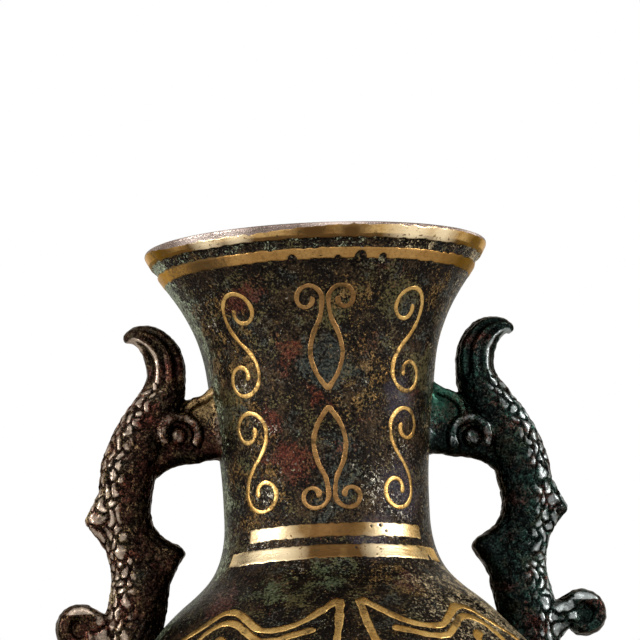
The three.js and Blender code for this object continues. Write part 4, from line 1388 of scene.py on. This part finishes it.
def make_camera():
    turn = math.radians(CAMERA_TURN)
    rise = math.radians(CAMERA_RISE)
    back = Vector((math.sin(turn) * math.cos(rise), -math.cos(turn) * math.cos(rise), math.sin(rise)))
    camera = bpy.data.cameras.new("camera")
    camera.sensor_width = 36
    camera.lens = CAMERA_LENS
    camera.clip_end = 50
    obj = bpy.data.objects.new("camera", camera)
    look = (-back).to_track_quat("-Z", "Y").to_matrix().to_4x4()
    roll = Matrix.Rotation(math.radians(-CAMERA_ROLL), 4, "Z")
    obj.matrix_world = Matrix.Translation(CAMERA_AIM + back * CAMERA_DISTANCE) @ look @ roll
    bpy.context.scene.collection.objects.link(obj)
    bpy.context.scene.camera = obj


# Finishes of the two handles. The last number of a spot is how far it lies off the wall.
RED_HANDLE = {
    "colors": {
        "Dark": (0.012, 0.0065, 0.005), "Brown": (0.042, 0.018, 0.012),
        "Olive": (0.06, 0.045, 0.019), "Teal": (0.016, 0.024, 0.019), "Flake": (0.14, 0.08, 0.05),
    },
    "shares": {
        "Olive Share": 0.42, "Teal Share": 0.37, "Red Share": 0.41, "Flake Share": 0.31,
        "Speck Share": 0.0,
    },
    "crown_highlight": (0.5, 0.39, 0.3),
    "pale": (0.4, 0.38, 0.25),
    "pale_and_highlight_spots": [(-90, 33, 11, 27), (-90, 98, 14, 47), (-90, 145, 12, 22)],
    "root_color": (0.5, 0.33, 0.14),
    "root_spots": [(-90, 55, 15, 2)],
}
GREEN_HANDLE = {
    "colors": {
        "Dark": (0.0055, 0.0075, 0.0075), "Brown": (0.011, 0.021, 0.017),
        "Olive": (0.04, 0.045, 0.022), "Teal": (0.01, 0.042, 0.032), "Flake": (0.09, 0.12, 0.1),
    },
    "shares": {
        "Olive Share": 0.4, "Teal Share": 0.44, "Red Share": 0.38, "Flake Share": 0.3,
        "Speck Share": 0.0,
    },
    "crown_highlight": (0.4, 0.43, 0.42),
    "pale": (0.4, 0.43, 0.38),
    "pale_and_highlight_spots": [(90, 33, 9, 24), (90, 145, 10, 24)],
    "root_color": (0.03, 0.11, 0.074),
    "root_spots": [(90, 57, 16, 3), (90, 44, 8, 12)],
}

# Finishes of the gold: its bright and deep colours, how much is stained, its tarnished spots (painted
# shade on the collars) and painted highlights by turn, drop and reach, and the drop of the rim's fold.
GOLDS = {
    "rim_gold": {
        "bright": (0.56, 0.36, 0.14), "deep": (0.3, 0.155, 0.045), "stain_share": 0.36,
        "tarnish_and_shade_spots": [(-72, 3.5, 18), (-52, 4.5, 12), (64, 4, 13), (-7, 2.5, 13), (6, 4, 10)],
        "highlight_spots": [(-46, 2.2, 10), (-34, 2.0, 8), (29, 2.2, 14), (42, 2.4, 10)],
        "fold_shade_drop": 4.2,
    },
    "mouth_gold": {
        "bright": (0.38, 0.215, 0.072), "deep": (0.29, 0.15, 0.044), "stain_share": 0.33,
        "tarnish_and_shade_spots": [(-52, 11, 16), (66, 11, 26)],
    },
    "collar_gold": {
        "bright": (0.74, 0.52, 0.24), "deep": (0.5, 0.31, 0.11), "stain_share": 0.32,
        "tarnish_and_shade_spots": [(-4, 112, 32), (10, 121, 22), (-8, 121, 22)],
        "highlight_spots": [
            (-40, 112, 13), (30, 112, 11), (-60, 121, 12), (-46, 121, 14), (-32, 121, 12),
            (24, 120.5, 11), (146, 115, 18),
        ],
    },
    "wire_gold": {"bright": (0.55, 0.35, 0.12), "deep": (0.34, 0.185, 0.052), "stain_share": 0.36},
    "dull_gold": {"bright": (0.3, 0.165, 0.06), "deep": (0.17, 0.085, 0.03), "stain_share": 0.4},
}

make_camera()
make_floor()
make_sky(SKY_LEVEL)
for name, softbox in SOFTBOXES.items():
    make_light(name, *softbox)

cast_grain = grain_group()
bronze_patina = patina_group(cast_grain)
beaten_gold = gold_group(cast_grain)
wall_bronze = wall_material(bronze_patina)
red_bronze = handle_material("red_bronze", bronze_patina, **RED_HANDLE)
green_bronze = handle_material("green_bronze", bronze_patina, **GREEN_HANDLE)
gold = {name: gold_material(name, beaten_gold, **looks) for name, looks in GOLDS.items()}

make_wall(wall_bronze)
make_foot(wall_bronze)
make_band("rim_band", 0.9, 4.9, gold["rim_gold"])
make_band("mouth_band", 8.9, 4.1, gold["mouth_gold"])
for side, shift in (("front", 0), ("back", FULL_TURN)):
    make_band("collar_upper_" + side, 109.7, 5.7, gold["collar_gold"], 54, shift)
    make_band("collar_lower_" + side, 117.9, 5.8, gold["collar_gold"], 67, shift)
    make_neck_scrolls(shift, side, gold["wire_gold"], gold["dull_gold"])
    make_shoulder_scrolls(shift, side, gold["wire_gold"])
make_foot_band(gold["collar_gold"])
make_handle("beast_handle_right", "right_handle", green_bronze, 1, 0.0, 74.2)
make_handle("beast_handle_left", "left_handle", red_bronze, -1, 2.6, 70.8)

bpy.context.scene.view_settings.view_transform = "Standard"
